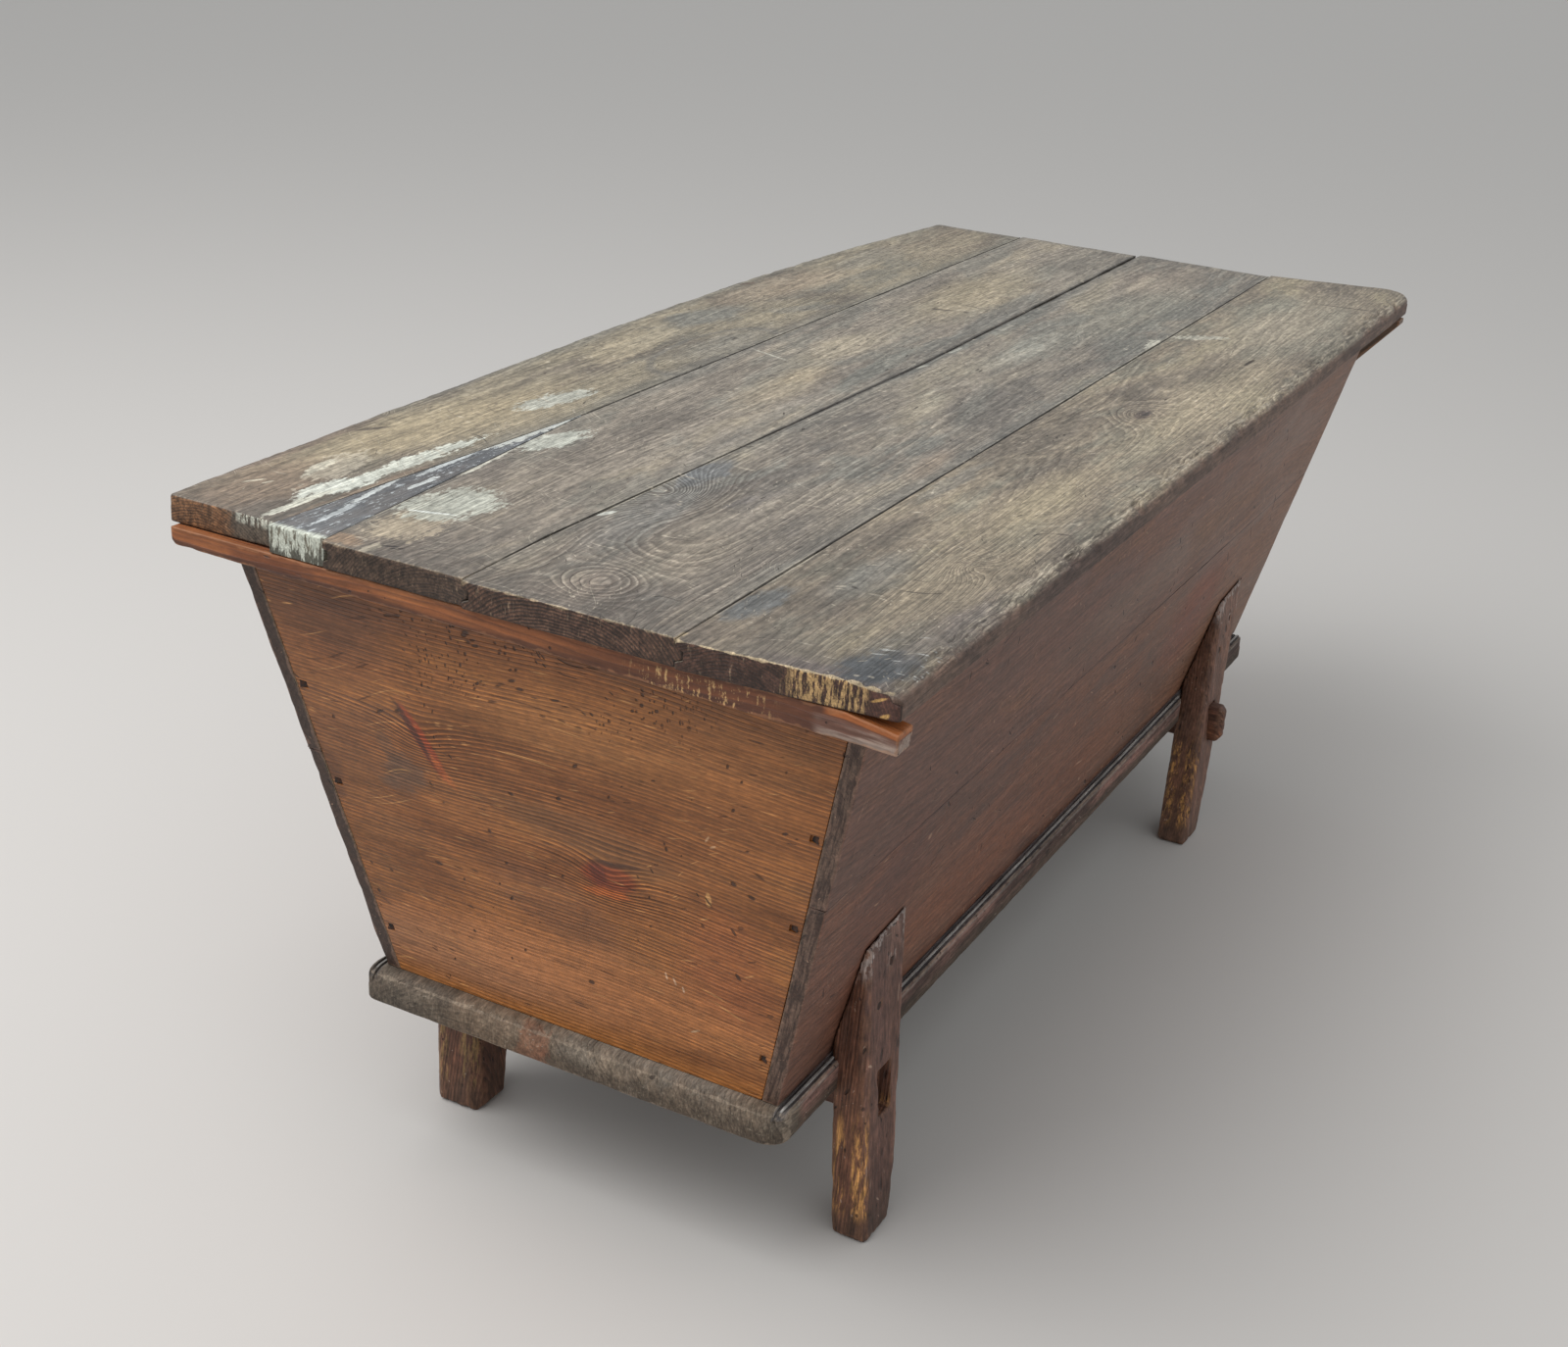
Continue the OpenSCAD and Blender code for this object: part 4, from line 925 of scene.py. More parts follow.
# Lid planks
# Four softwood planks, tongued and grooved together and nailed up through two battens. They lift
# off as one. The right edge is worn round and the near end is dark with handling.
LID_THICK = 25.0
JOINT_NEAR_Y = (347.0, 206.0, 37.0, -153.0, -331.0)
JOINT_FAR_Y = (321.0, 194.0, 25.0, -152.0, -330.0)
JOINT_NEAR_X = -748.0
JOINT_FAR_X = 740.0
PLANK_NEAR_X = (-748.0, -759.0, -763.0, -766.0)
PLANK_FAR_X = (740.0, 748.0, 755.0, 807.0)
NEAR_SKEW = 12.0
FAR_SKEW = 46.0
WORN_ROUND = 26.0
NEAR_ROUND = 5.0
FAR_ROUND = {0: 12.0, 3: 36.0}
LEFT_BOW = (0.0, 11.0, 20.0, 28.0, 31.0, 21.5, 0.0)
TONGUE = 7.0
TONGUE_LOW = 8.5
TONGUE_HIGH = 16.5
TONGUE_ROOT = 9.0
TONGUE_TAPER = 1.75
GROOVE_TAPER = 0.2
LATH_NEAR_X = -756.0
LATH_LONG = 412.0
LATH_LEFT = 27.0
LATH_RIGHT = 29.0
JOINT_GAPS = (0.0, 0.35, 0.55, 0.4, 0.0)
CRACK = 1.1
CRACK_FROM_X = 150.0
CRACK_OPENS = 250.0
WAVY_X = (-757.0, -639.0, -430.0, 50.0, 322.0, 762.0)
WAVY_Y = (2.0, 5.0, 1.0, -7.0, -3.0, 3.0)


def joint_y(joint, x):
    """Line of a plank joint, with the bow of the left edge and the waver of the middle joint."""
    share = (x - JOINT_NEAR_X) / (JOINT_FAR_X - JOINT_NEAR_X)
    y = JOINT_NEAR_Y[joint] + (JOINT_FAR_Y[joint] - JOINT_NEAR_Y[joint]) * share
    if joint == 0:
        y = y + np.interp(share, np.linspace(0.0, 1.0, 7), LEFT_BOW)
    if joint == 2:
        y = y + np.interp(x, WAVY_X, WAVY_Y)
    return y


def joint_gap(joint, x):
    """Half the open width of a joint, uneven along its length."""
    ripple = np.array([noise.noise(Vector((v / 33.0, joint * 5.3, 0.0))) for v in x])
    gap = JOINT_GAPS[joint] * (1.0 + 0.7 * ripple)
    if joint == 2:
        gap = gap + CRACK * np.clip((x - CRACK_FROM_X) / CRACK_OPENS, 0.0, 1.0) * (1.0 + ripple)
    return gap


def lath_reach(x):
    """Share of the lath's width that is left at x."""
    return np.clip(1.0 - (x - LATH_NEAR_X) / LATH_LONG, 0.0, 1.0)


def plank_place(number, width):
    """Where the points of one lid plank go."""
    def place(s, c, d):
        near = np.full_like(c, PLANK_NEAR_X[number])
        far = np.full_like(c, PLANK_FAR_X[number])
        length = far - near
        if number == 3:
            share = np.clip(c / width, 0.0, 1.0)
            near = near + NEAR_SKEW * (1.0 - share)
            far = far - FAR_SKEW * share
        if number in FAR_ROUND:
            from_side = c if number == 3 else width - c
            near = near + corner_cut(NEAR_ROUND, from_side)
            far = far - corner_cut(FAR_ROUND[number], from_side)
        x = near + s / length * (far - near)
        right = joint_y(number + 1, x) + joint_gap(number + 1, x)
        left = joint_y(number, x) - joint_gap(number, x) - 0.6 * (number == 0)
        if number == 0:
            right = right + LATH_LEFT * lath_reach(x)
        if number == 1:
            left = left - LATH_RIGHT * lath_reach(x)
        return x, right + c / width * (left - right), RIM_Z + d
    return place


def lid_grain(p, d):
    """How the grain runs in a plank: along the lid, its depth measured from the top."""
    return p[:, 0], p[:, 1], p[:, 2] - RIM_Z - LID_THICK


def tongue_and_groove(tongue, groove):
    """Stands a tongue out of a plank's low side and lets a groove into its high side."""
    def edge(s, c, d, row):
        width = c.max()
        inside = (d > TONGUE_LOW) & (d < TONGUE_HIGH) & (row > 0) & (row < len(LID_ROWS) - 1)
        if tongue:
            c = np.where(inside & (c < TONGUE_ROOT), -TONGUE + TONGUE_TAPER * c, c)
        if groove:
            from_side = width - c
            moved = width - (TONGUE + GROOVE_TAPER * from_side)
            c = np.where(inside & (from_side < TONGUE_ROOT), moved, c)
        return c
    return edge


LID_ROWS = np.array([0.0, 0.3, 0.9, 1.8, 3.0, 5.5, 8.4, 8.6, 12.5, 16.4, 16.6,
                     18.5, 20.0, 21.5, 22.8, 23.8, 24.5, 24.85, 25.0])
# Early wood and clouds of each plank, its end grain and rings, and the patches on it. The names
# run from the left edge of the lid to the right.
PLANK_NAMES = ("left_edge", "left_middle", "right_middle", "right_edge")
PAINT = (188, 189, 177)
SLATE = (106, 105, 99)
GOLD = (164, 148, 122)
PLANK_TONES = (
    ((131, 121, 103), ((106, 97, 86), (145, 133, 111), (111, 108, 98))),
    ((138, 128, 115), ((112, 104, 95), (150, 138, 119), (118, 115, 106))),
    ((130, 121, 109), ((104, 98, 91), (141, 131, 114), (110, 110, 103))),
    ((134, 122, 105), ((109, 100, 89), (146, 134, 111), (115, 112, 100))),
)
END_TONES = ((108, 75, 49), (69, 53, 42), (76, 54, 42), (66, 44, 35))
PLANK_RINGS = (
    {"Heart": (0.0, 0.30, -0.09), "Tilt": 0.02, "Ring Width": 0.0026},
    {"Heart": (0.0, 0.05, -0.11), "Tilt": 0.02, "Ring Width": 0.0026},
    {"Heart": (0.0, -0.066, -0.11), "Tilt": 0.02, "Ring Width": 0.003,
     "Knot": (-0.722, -0.066, 0.0), "Knot Reach": 0.05, "Knot Push": 0.042,
     "Second Knot": (-0.505, 0.004, 0.0), "Second Reach": 0.040, "Second Push": 0.045},
    {"Heart": (0.0, -0.22, -0.10), "Tilt": 0.02, "Ring Width": 0.0026,
     "Knot": (0.002, -0.250, 0.0), "Knot Reach": 0.026, "Knot Push": 0.02,
     "Second Knot": (-0.514, -0.287, 0.0), "Second Reach": 0.018, "Second Push": 0.016},
)
PLANK_SPOTS = (
    ((-480, 275, 190, 38, -8, "soft", 0.7, (157, 142, 115)),
     (-110, 288, 90, 26, 6, "stain", 0.6, (156, 143, 120)),
     (-700, 285, 75, 45, 0, "soft", 0.7, (122, 104, 88)),
     (-745, 240, 28, 24, 0, "stain", 0.6, (98, 90, 82)),
     (50, 290, 62, 28, -10, "stain", 0.75, SLATE),
     (-40, 215, 85, 20, -4, "soft", 0.6, (126, 121, 112)),
     (-72, 206, 115, 45, 0, "ring", 0.65, (96, 92, 86)),
     (240, 290, 120, 30, -8, "soft", 0.6, (152, 135, 115)),
     (221, 331, 11, 3, -20, "mark", 0.7, (88, 66, 54)),
     (155, 222, 50, 11, -30, "stain", 0.5, (112, 109, 102)),
     (459, 280, 90, 22, 0, "stain", 0.5, (118, 113, 104)),
     (600, 250, 110, 50, 0, "soft", 0.4, (150, 135, 114)),
     (-596, 330, 110, 8, 0, "stain", 0.6, (102, 86, 76)),
     (-522, 313, 18, 3, -30, "mark", 0.75, (68, 58, 52)),
     (-660, 212, 90, 5, -3, "stain", 0.7, (122, 104, 88)),
     (-600, 228, 115, 10, -4, "paint", 0.95, PAINT),
     (-668, 234, 40, 13, -10, "paint", 0.95, (190, 191, 180)),
     (-722, 233, 44, 5, -2, "paint", 0.9, (182, 180, 166)),
     (-625, 268, 44, 17, 8, "paint", 0.55, (172, 163, 146)),
     (-640, 279, 26, 6, 10, "paint", 0.7, (192, 186, 168)),
     (-335, 236, 50, 14, -10, "paint", 0.85, (168, 168, 157)),
     (-700, 299, 10, 2, -30, "mark", 0.9, (198, 187, 166)),
     (-696, 287, 6, 1.6, -20, "mark", 0.9, (198, 187, 166))),
    ((30, 105, 95, 22, -4, "soft", 0.5, (160, 148, 126)),
     (-94, 88, 45, 15, 0, "soft", 0.4, GOLD),
     (-150, 85, 75, 24, 0, "soft", 0.4, GOLD),
     (370, 92, 150, 45, 0, "soft", 0.6, (160, 146, 120)),
     (-30, 40, 110, 15, 3, "stain", 0.6, (110, 111, 104)),
     (118, 30, 60, 10, 0, "stain", 0.55, SLATE),
     (290, 32, 160, 14, 2, "stain", 0.5, SLATE),
     (-300, 40, 150, 12, 2, "soft", 0.45, (112, 107, 101)),
     (0, 70, 42, 8, -15, "stain", 0.55, (110, 107, 99)),
     (-119, 112, 8, 3, -20, "mark", 0.75, (80, 72, 66)),
     (600, 60, 120, 30, 0, "soft", 0.4, (120, 115, 105)),
     (-550, 160, 34, 16, 20, "stain", 0.45, (116, 107, 99)),
     (-49, 153, 26, 1.6, 72, "mark", 0.7, (180, 176, 162)),
     (455, 100, 15, 15, 0, "ring", 0.55, (112, 106, 96)),
     (-712, 128, 34, 28, 0, "paint", 0.5, (170, 155, 132)),
     (-647, 132, 47, 34, -10, "paint", 0.8, (166, 167, 155)),
     (-640, 128, 26, 16, 0, "soft", 0.4, (176, 177, 165)),
     (-673, 132, 20, 2.2, -72, "mark", 0.95, (214, 216, 208)),
     (-768, 121, 12, 5, -10, "paint", 0.5, (176, 166, 146)),
     (-765, 150, 12, 16, 0, "stain", 0.5, (146, 118, 92)),
     (-757, 111, 7, 1.9, -60, "mark", 0.9, (42, 36, 34)),
     (-758, 103, 6, 1.7, -60, "mark", 0.9, (42, 36, 34)),
     (-445, 163, 42, 14, -12, "paint", 0.85, (170, 171, 160)),
     (-520, 178, 60, 5, 6, "paint", 0.8, (176, 173, 160))),
    ((-640, -85, 62, 26, -4, "soft", 0.3, (150, 137, 118)),
     (-722, -66, 26, 22, 0, "soft", 0.5, (112, 100, 90)),
     (-440, 6, 44, 14, 0, "stain", 0.65, (98, 101, 104)),
     (-560, -10, 90, 20, 0, "soft", 0.4, (124, 122, 118)),
     (-490, -58, 22, 6, -10, "stain", 0.6, (102, 96, 92)),
     (-236, -118, 46, 10, 0, "stain", 0.65, SLATE),
     (-80, -100, 90, 10, 12, "soft", 0.45, (114, 112, 104)),
     (-290, -146, 50, 10, 4, "soft", 0.5, (138, 121, 104)),
     (-120, -62, 62, 16, 4, "soft", 0.45, (156, 145, 124)),
     (180, -62, 120, 24, -4, "soft", 0.4, (150, 148, 136)),
     (135, 12, 190, 12, 0, "stain", 0.5, (106, 106, 100)),
     (370, 2, 130, 15, 2, "stain", 0.5, (104, 102, 96)),
     (15, 5, 14, 2.6, -18, "mark", 0.8, (174, 172, 160)),
     (104, 4, 17, 2.6, -4, "mark", 0.8, (174, 172, 160)),
     (-586, 18, 10, 3, -20, "mark", 0.85, (188, 188, 178)),
     (430, -90, 170, 40, 0, "soft", 0.5, (126, 123, 111)),
     (600, -60, 85, 40, 0, "soft", 0.45, (148, 133, 118)),
     (560, -50, 60, 10, 0, "soft", 0.5, (162, 150, 132)),
     (285, -163, 24, 7, 0, "paint", 0.85, (174, 170, 156))),
    ((-540, -285, 115, 34, -4, "soft", 0.35, (152, 138, 114)),
     (-330, -270, 110, 26, 0, "soft", 0.55, (154, 140, 115)),
     (60, -288, 220, 34, 0, "soft", 0.55, (164, 150, 126)),
     (480, -262, 160, 60, 0, "soft", 0.5, (164, 154, 136)),
     (-575, -228, 60, 18, -6, "soft", 0.5, (116, 115, 109)),
     (-620, -332, 60, 14, 0, "soft", 0.6, (110, 101, 97)),
     (-690, -184, 42, 14, -6, "stain", 0.7, (86, 90, 92)),
     (-320, -184, 80, 10, -2, "stain", 0.55, (108, 105, 99)),
     (560, -215, 70, 26, -10, "soft", 0.5, (120, 118, 106)),
     (515, -238, 24, 18, 0, "ring", 0.3, (108, 100, 88)),
     (-775, -290, 14, 50, 0, "soft", 0.6, (86, 76, 76)),
     (-743, -314, 36, 25, -20, "stain", 0.85, (62, 66, 70)),
     (-700, -322, 30, 10, 0, "soft", 0.5, (92, 86, 82)),
     (0, -250, 60, 22, 0, "soft", 0.4, (120, 108, 94)),
     (2, -250, 20, 8, 4, "mark", 0.75, (82, 70, 64)),
     (5, -251, 9, 4, 0, "mark", 0.8, (56, 48, 46)),
     (350, -193, 34, 9, -53, "paint", 0.8, (172, 167, 152)),
     (627, -298, 42, 1.7, -77, "mark", 0.85, (68, 56, 48)),
     (280, -277, 17, 2.3, -3, "mark", 0.95, (54, 42, 34)),
     (-513, -287, 14, 8, 20, "ring", 0.5, (96, 84, 74))),
)
for number, label in enumerate(PLANK_NAMES):
    width = JOINT_NEAR_Y[number] - JOINT_NEAR_Y[number + 1]
    early, clouds = PLANK_TONES[number]
    wood = Wood(
        label + "_plank_wood", early, (84, 72, 63), {"Wander": 0.024, **PLANK_RINGS[number]}, clouds=clouds,
        blotch=0.6, rings=(0.4, 0.2), uneven=(0.18, 0.3, 0.36))
    along, across, deep = wood.parts(wood.grain)
    # Grey along the joints, and darker toward both ends
    rim = wood.mark("rim")
    by_joint = (wood["Blotch"] * 0.05 + rim).fall(0.022, 0.045)
    if number != 3:
        wood.coat(by_joint * 0.45, SLATE)
    at_far = (wood["Blotch"] * 0.1 + along).step(0.765, 0.81)
    wood.coat(at_far * 0.55, (102, 93, 82))
    at_near = (wood["Blotch"] * -0.08 + along).fall(-0.8, -0.765)
    wood.coat(at_near * 0.5, (92, 82, 74))
    toward_near = (wood["Cloud"] * 0.3 + along).fall(-0.62, -0.15)
    wood.coat(toward_near * 0.25, (111, 99, 90))
    wood.tone = wood.scaled(wood.tone, toward_near.step(0, 1, 1, 0.85))
    wood.spots(PLANK_SPOTS[number])
    # Worn wood and dark lines along the joints, with the open crack in the middle one
    inner = abs(across + 0.008).fall(0.29, 0.3) * abs(along).fall(0.72, 0.73)
    worn_joint = inner * rim.fall(0.0012, 0.003) * wood["Blotch"].step(0.5, 0.56)
    wood.coat(worn_joint * 0.6, (172, 164, 148))
    dark_joint = inner * rim.fall(0.0006, 0.0014)
    if number in (1, 2):
        by_crack = abs(across).fall(0.045, 0.055) * along.step(-0.45, -0.2)
        by_crack *= rim.fall(0.0017, 0.0034)
        dark_joint = dark_joint.sum("MAXIMUM", by_crack * inner)
    wood.coat(dark_joint * 0.85, (50, 44, 40))
    # Marks, strokes, long drags and pits
    marks = wood.scores(24, 90, 300, 0.42, 0.3, 0.42, (186, 175, 157))
    wood.scores(-28, 80, 240, 0.34, 0.3, 0.42, (92, 80, 70))
    wood.scores(6, 12, 420, 0.14, 0.26, 0.35, (186, 176, 158))
    pits = wood.scores(0, 60, 260, 0.07, 0.28, 0.75, (56, 48, 42))
    if number == 3:
        # The clawed near corner, and the round right edge frayed into strands
        clawed = wood.scored(66, 38, 230, 0.6, 0.3) * wood.patched(-728, -326, 56, 30, -10, "soft")
        wood.coat(clawed * 0.65, (172, 172, 168))
        strands = wood.threads((26, 330, 330), 5, 0.75)
        band = (wood["Blotch"] * 0.014 + abs(across + 0.3375)).fall(0.009, 0.018)
        frayed = strands.step(0.5, 0.58) * band * along.step(-0.72, -0.55, 0.25, 1.0)
        wood.coat(frayed * 0.7, (176, 164, 146))
        split = strands.step(0.46, 0.4) * band
        wood.coat(split * 0.6, (76, 64, 58))
    if number in FAR_ROUND:
        flank = (wood["Blotch"] * 0.008 + deep).fall(-0.006, 0) * abs(across).step(0.3, 0.33)
        side_tone = wood.between(wood["Cloud"].step(0.4, 0.6), (78, 60, 54), (102, 78, 66))
        wood.coat(flank * 0.9, side_tone)
    # Sawn ends, with paint run down by the lath and gold where the corner is hacked
    sawn = wood.mark("cut").step(0.2, 0.9)
    at_front = along < 0.0
    board_tone = wood.tone
    wood.tone = wood.between(wood["Late Wood"].step(0.1, 0.5) * 0.65, END_TONES[number], (44, 32, 28))
    wood.tone = wood.scaled(wood.tone, wood["Speck"].step(0.35, 0.65, 0.7, 1.35))
    hacked = wood.threads((200, 380, 60), 5, 0.75)
    wood.coat(hacked.step(0.6, 0.66, 0, 0.6), (150, 128, 104))
    if number == 0:
        by_lath = (wood["Speck"] * 0.02 + across).step(0.285, 0.265)
        wood.coat(by_lath * 0.8, (82, 78, 70))
        dripped = hacked.step(0.46, 0.52) * across.step(0.265, 0.25) * deep.step(-0.011, -0.006)
        dripped *= at_front
        wood.coat(dripped * 0.9, (194, 194, 180))
    if number == 3:
        gold = hacked.step(0.47, 0.53) * across.step(-0.25, -0.27) * across.step(-0.325, -0.315)
        gold *= at_front
        wood.coat(gold * 0.85, (184, 150, 102))
        reddish = across.step(-0.318, -0.326)
        wood.coat(reddish * 0.5, (84, 52, 44))
        notches = wood.scored(-42, 230, 60, 0.7, 0.34) * (reddish * at_front)
        wood.coat(notches * 0.8, (196, 154, 92))
    fitted = rim.step(0.0006, 0.0016, 0.85, 0.0) * deep.step(-0.004, -0.006)
    wood.coat(fitted, (34, 26, 22))
    wood.tone = wood.between(sawn * 0.97, board_tone, wood.tone)
    arris = wood.worn_rim(1.3, 1.8, 90) * along.step(-0.768, -0.772) * deep.step(-0.006, -0.003)
    wood.coat(arris * (0.15, 0.15, 0.35, 0.75)[number], (182, 162, 130))
    wood.finish(
        wood["Cloud"].step(0.3, 0.7, 0.66, 0.54), (wood["Late Wood"], 0.0004), (wood["Fibre"], 0.00025),
        (wood["Streak"], 0.0009), (wood["Speck"], 0.0003), (pits, -0.001), (marks, -0.0002))
    rows = spread(0.0, width, 5.0, 1.6, 0.0, [TONGUE_ROOT, width - TONGUE_ROOT])
    if number == 3:
        rows = np.union1d(rows, WORN_ROUND * np.array((0.12, 0.2, 0.3, 0.42, 0.56, 0.7, 0.85, 1.0)))
    plank = worn_board(
        "worn_" + label + "_plank",
        spread(0.0, PLANK_FAR_X[number] - PLANK_NEAR_X[number], 2.6, 5.0, 0.0035),
        rows, LID_ROWS, plank_place(number, width), lid_grain,
        {"near": (2.6, 3.2), "far": (4.0, 5.0), "low": (WORN_ROUND, 13.0) if number == 3 else (1.0, 1.2),
         "high": (5.0, 5.0) if number == 0 else (1.0, 1.2), "under": 2.0},
        (0.28 if number == 3 else 0.45, 0.9), 80 + 6 * number,
        tongue_and_groove(number < 3, number > 0))
    dress(plank, wood, "lid", "lid_wood", f"lid_{label}_plank")

# Repair lath
# A thin tapered strip of softwood, let into the first joint where the planks had shrunk apart and
# nailed there, with the white paint that dripped on the lid.
LATH_HALF = 28.0
LATH_POINT = 0.012


def lath_place(s, c, d):
    """Where the points of the lath go."""
    x = LATH_NEAR_X + s
    wide = np.where(c > 0, LATH_LEFT, LATH_RIGHT) * np.maximum(lath_reach(x), LATH_POINT)
    return x, joint_y(1, x) + c / LATH_HALF * wide, RIM_Z + d


wood = Wood(
    "lath_wood", (98, 99, 101), (70, 70, 72),
    {"Heart": (0.0, 0.5, -0.3), "Tilt": 0.0, "Ring Width": 0.003, "Wander": 0.01},
    clouds=((80, 81, 84), (118, 118, 118), (104, 97, 92)), blotch=0.5, rings=(0.4, 0.2),
    uneven=(0.16, 0.2, 0.2))
along, _, deep = wood.parts(wood.grain)
wood.spots((
    (-655, 203, 46, 2.6, 6, "paint", 0.9, (196, 199, 196)),
    (-722, 193, 34, 3, 4, "paint", 0.8, (186, 190, 190)),
    (-617, 184, 24, 3.5, 0, "paint", 0.9, (196, 199, 196)),
    (-560, 199, 46, 3, 0, "paint", 0.8, (186, 190, 188)),
    (-430, 194, 66, 9, 0, "paint", 0.95, (190, 191, 184)),
))
# Flaking paint along it, and fresh paint over its near end
flakes = wood.threads((70, 300, 300), 5, 0.75)
wood.coat(flakes.step(0.57, 0.62, 0, 0.85), (182, 187, 188))
wood.coat(flakes.step(0.44, 0.36, 0, 0.6), (66, 66, 70))
near = (flakes * 0.02 + along).step(-0.757, -0.764)
wood.coat(near * 0.92, (200, 203, 190))
runs = wood.threads((110, 300, 70), 5, 0.72)
sawn = along.step(-0.7735, -0.7755)
painted = (runs * 0.04 + deep).step(0.0, 0.006)
bare = wood.between(runs.step(0.54, 0.62), (84, 82, 72), (170, 171, 158))
fresh = wood.between(runs.step(0.42, 0.52), (104, 98, 84), (186, 189, 176))
wood.coat(sawn, wood.between(painted, bare, fresh))
wood.finish(0.6, (wood["Fibre"], 0.0003), (wood["Streak"], 0.0006), (flakes, 0.0006), (runs, 0.001))
lath = worn_board(
    "worn_lath",
    spread(0.0, LATH_LONG, 3.0, 2.0), spread(-LATH_HALF, LATH_HALF, 3.0, 1.5),
    spread(0.0, LID_THICK, 3.0, 1.5),
    lath_place, lid_grain,
    {"near": (1.5, 1.5), "far": (1.0, 1.0), "low": (0.8, 0.8), "high": (0.8, 0.8), "under": 1.0},
    (0.6, 0.6), 110)
dress(lath, wood, "lid", "lath_wood", "lid_repair_lath")

# Lid battens
# Two battens nailed across under the planks, which drop outside the end panels. The near one is
# a thin strip, split and broken at its right end; the far one is a deeper board.
BATTEN_X = 732.0
BATTEN_THICK = 24.0
BATTEN_RIGHT_Y = -332.0
NEAR_BATTEN_LEFT_Y = 338.3
FAR_BATTEN_LEFT_Y = 312.4
NEAR_BATTEN_HIGH = 25.0
NEAR_BATTEN_TAPER = 9.0
LEFT_END_CUT = 5.0
SPLIT_DROP = 8.0
SPLIT_LONG = 44.0
FAR_BATTEN_TIP = 6.0
FAR_BATTEN_DROP = 74.0
FAR_BATTEN_CUT = 62.0
BATTEN_ROWS = 20.0


def near_batten_place(s, c, d):
    """Where the points of the near batten go: it tapers, and its split right end has dropped."""
    from_right = s - BATTEN_RIGHT_Y
    from_left = NEAR_BATTEN_LEFT_Y - s
    taper = NEAR_BATTEN_TAPER * from_right / (NEAR_BATTEN_LEFT_Y - BATTEN_RIGHT_Y)
    low = RIM_Z - NEAR_BATTEN_HIGH + taper + np.clip(LEFT_END_CUT - from_left, 0.0, LEFT_END_CUT)
    high = RIM_Z - SPLIT_DROP * np.clip(1.0 - from_right / SPLIT_LONG, 0.0, 1.0)
    return -BATTEN_X - c, s, low + d / BATTEN_ROWS * (high - low)


def far_batten_place(s, c, d):
    """Where the points of the far batten go: its two ends are cut away below."""
    from_end = np.minimum(s - BATTEN_RIGHT_Y, FAR_BATTEN_LEFT_Y - s)
    low = RIM_Z - FAR_BATTEN_TIP - FAR_BATTEN_DROP * np.clip(from_end / FAR_BATTEN_CUT, 0.0, 1.0)
    return BATTEN_X + c, s, low + d / BATTEN_ROWS * (RIM_Z - low)


wood = Wood(
    "batten_wood", (138, 82, 46), (80, 44, 28),
    {"Heart": (0.0, -0.6, -0.12), "Tilt": 0.01, "Ring Width": 0.0035, "Wander": 0.02},
    clouds=((110, 62, 36), (152, 94, 54), (106, 68, 46)), blotch=0.5, rings=(0.6, 0.15),
    uneven=(0.16, 0.16, 0.14))
along, across, deep = wood.parts(wood.grain)
# Painted shade along the foot, and darker toward the right, where it is worked and split to fresh wood
painted_foot_shade = (wood["Streak"] * 0.006 + deep).fall(-0.0135, -0.009)
wood.coat(painted_foot_shade * 0.75, (66, 40, 30))
toward_right = along.step(-0.02, -0.2)
wood.coat(toward_right * 0.65, (84, 50, 38))
wood.coat(across.step(0, 0.01, 0, 0.85), (108, 92, 78))
hacked = wood.threads((330, 150, 110), 5, 0.75)
worked = along.step(-0.115, -0.145) * along.step(-0.255, -0.23) * deep.step(-0.003, -0.007)
worked *= across < 0.0
hacked = hacked.step(0.55, 0.6) * worked
wood.coat(hacked * 0.85, (204, 164, 112))
split = (wood["Streak"] * 0.03 + along).step(-0.262, -0.272) * deep.step(-0.005, -0.0065) * (across < 0)
wood.coat(split * 0.75, wood.between(wood["Streak"].step(0.42, 0.56), (110, 78, 66), (160, 142, 130)))
fresh = along.step(-0.285, -0.292) * deep.step(-0.0055, -0.0045) * (across < 0.0)
wood.coat(fresh * 0.85, (170, 98, 50))
wood.coat(wood.worn_rim(2.2, 1.4, 80) * 0.35, (170, 118, 80))
pits = wood.scores(0, 70, 190, 0.1, 0.28, 0.8, (46, 30, 24))
wood.finish(
    0.5, (wood["Late Wood"], 0.0004), (wood["Fibre"], 0.0003), (wood["Streak"], 0.0008), (pits, -0.001))
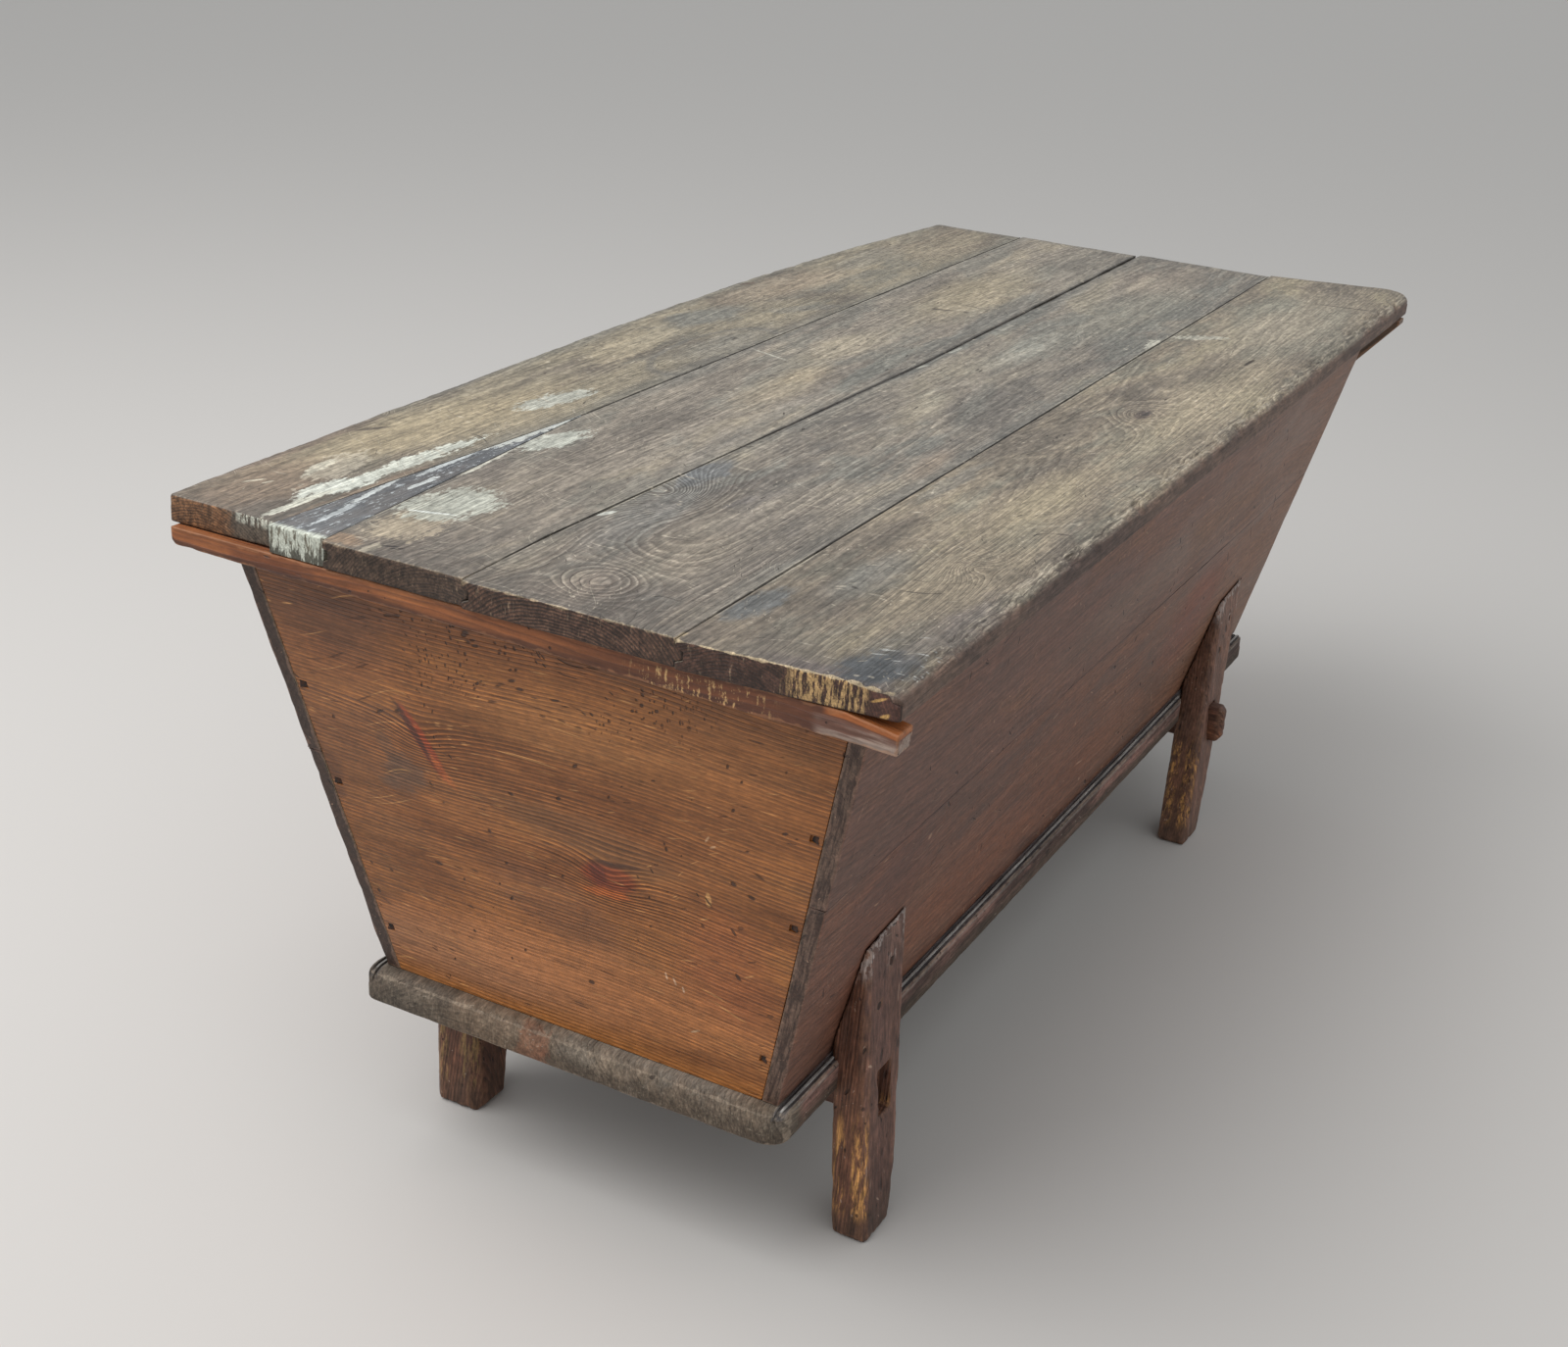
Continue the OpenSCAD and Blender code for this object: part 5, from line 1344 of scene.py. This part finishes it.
for label, left_y, place in (
        ("near", NEAR_BATTEN_LEFT_Y, near_batten_place), ("far", FAR_BATTEN_LEFT_Y, far_batten_place)):
    batten = worn_board(
        f"worn_{label}_batten",
        spread(BATTEN_RIGHT_Y, left_y, 4.0, 3.0), spread(0.0, BATTEN_THICK, 3.0, 3.0),
        spread(0.0, BATTEN_ROWS, 2.0, 2.5),
        place,
        lambda p, d: (p[:, 1], p[:, 0], d),
        {"near": (1.5, 1.5), "far": (2.0, 2.0), "low": (0.6, 0.6), "high": (2.0, 1.2), "under": 2.4},
        (0.6, 0.6), 120)
    dress(batten, wood, "lid", "batten_wood", f"{label}_lid_batten")

# Floor and light
# A plain pale floor, and one soft lamp above the bin's near left side. The world lights the bin
# evenly, and only the camera and what shines or is clear sees it pale.
floor_mesh = bpy.data.meshes.new("floor")
floor_mesh.from_pydata([(-60, -60, 0), (60, -60, 0), (60, 60, 0), (-60, 60, 0)], [], [(0, 1, 2, 3)])
floor = set_out("floor", floor_mesh)
material = bpy.data.materials.new("pale_floor")
material.use_nodes = True
surface = material.node_tree.nodes["Principled BSDF"]
surface.inputs["Base Color"].default_value = colour(206, 202, 198)
surface.inputs["Roughness"].default_value = 0.9
surface.inputs["Specular IOR Level"].default_value = 0.2
floor_mesh.materials.append(material)

lamp = set_out("soft_light", bpy.data.lights.new("soft_light", "AREA"))
lamp.data.shape = "RECTANGLE"
lamp.data.size = 3.6
lamp.data.size_y = 3.0
lamp.data.energy = 110.0
lamp.location = (-1.6, 1.2, 3.4)
lamp.rotation_euler = (Vector((0.0, 0.0, 0.4)) - lamp.location).to_track_quat("-Z", "Y").to_euler()

world = bpy.data.worlds.new("pale_room")
bpy.context.scene.world = world
world.use_nodes = True
world.node_tree.nodes.clear()
room = Bench(world.node_tree)
camera_ray, glossy_ray, clear_ray = (
    room.get("ShaderNodeLightPath", {}, ray)
    for ray in ("Is Camera Ray", "Is Glossy Ray", "Is Transmission Ray"))
shown = camera_ray.sum("MAXIMUM", glossy_ray).sum("MAXIMUM", clear_ray)
soft = room.get("ShaderNodeBackground", {"Color": (0.95, 0.98, 1.0, 1.0), "Strength": 0.62})
pale = room.get("ShaderNodeBackground", {"Color": colour(214, 218, 220), "Strength": 1.0})
either = room.get("ShaderNodeMixShader", {0: shown, 1: soft, 2: pale})
room.lay("ShaderNodeOutputWorld", {"Surface": either})
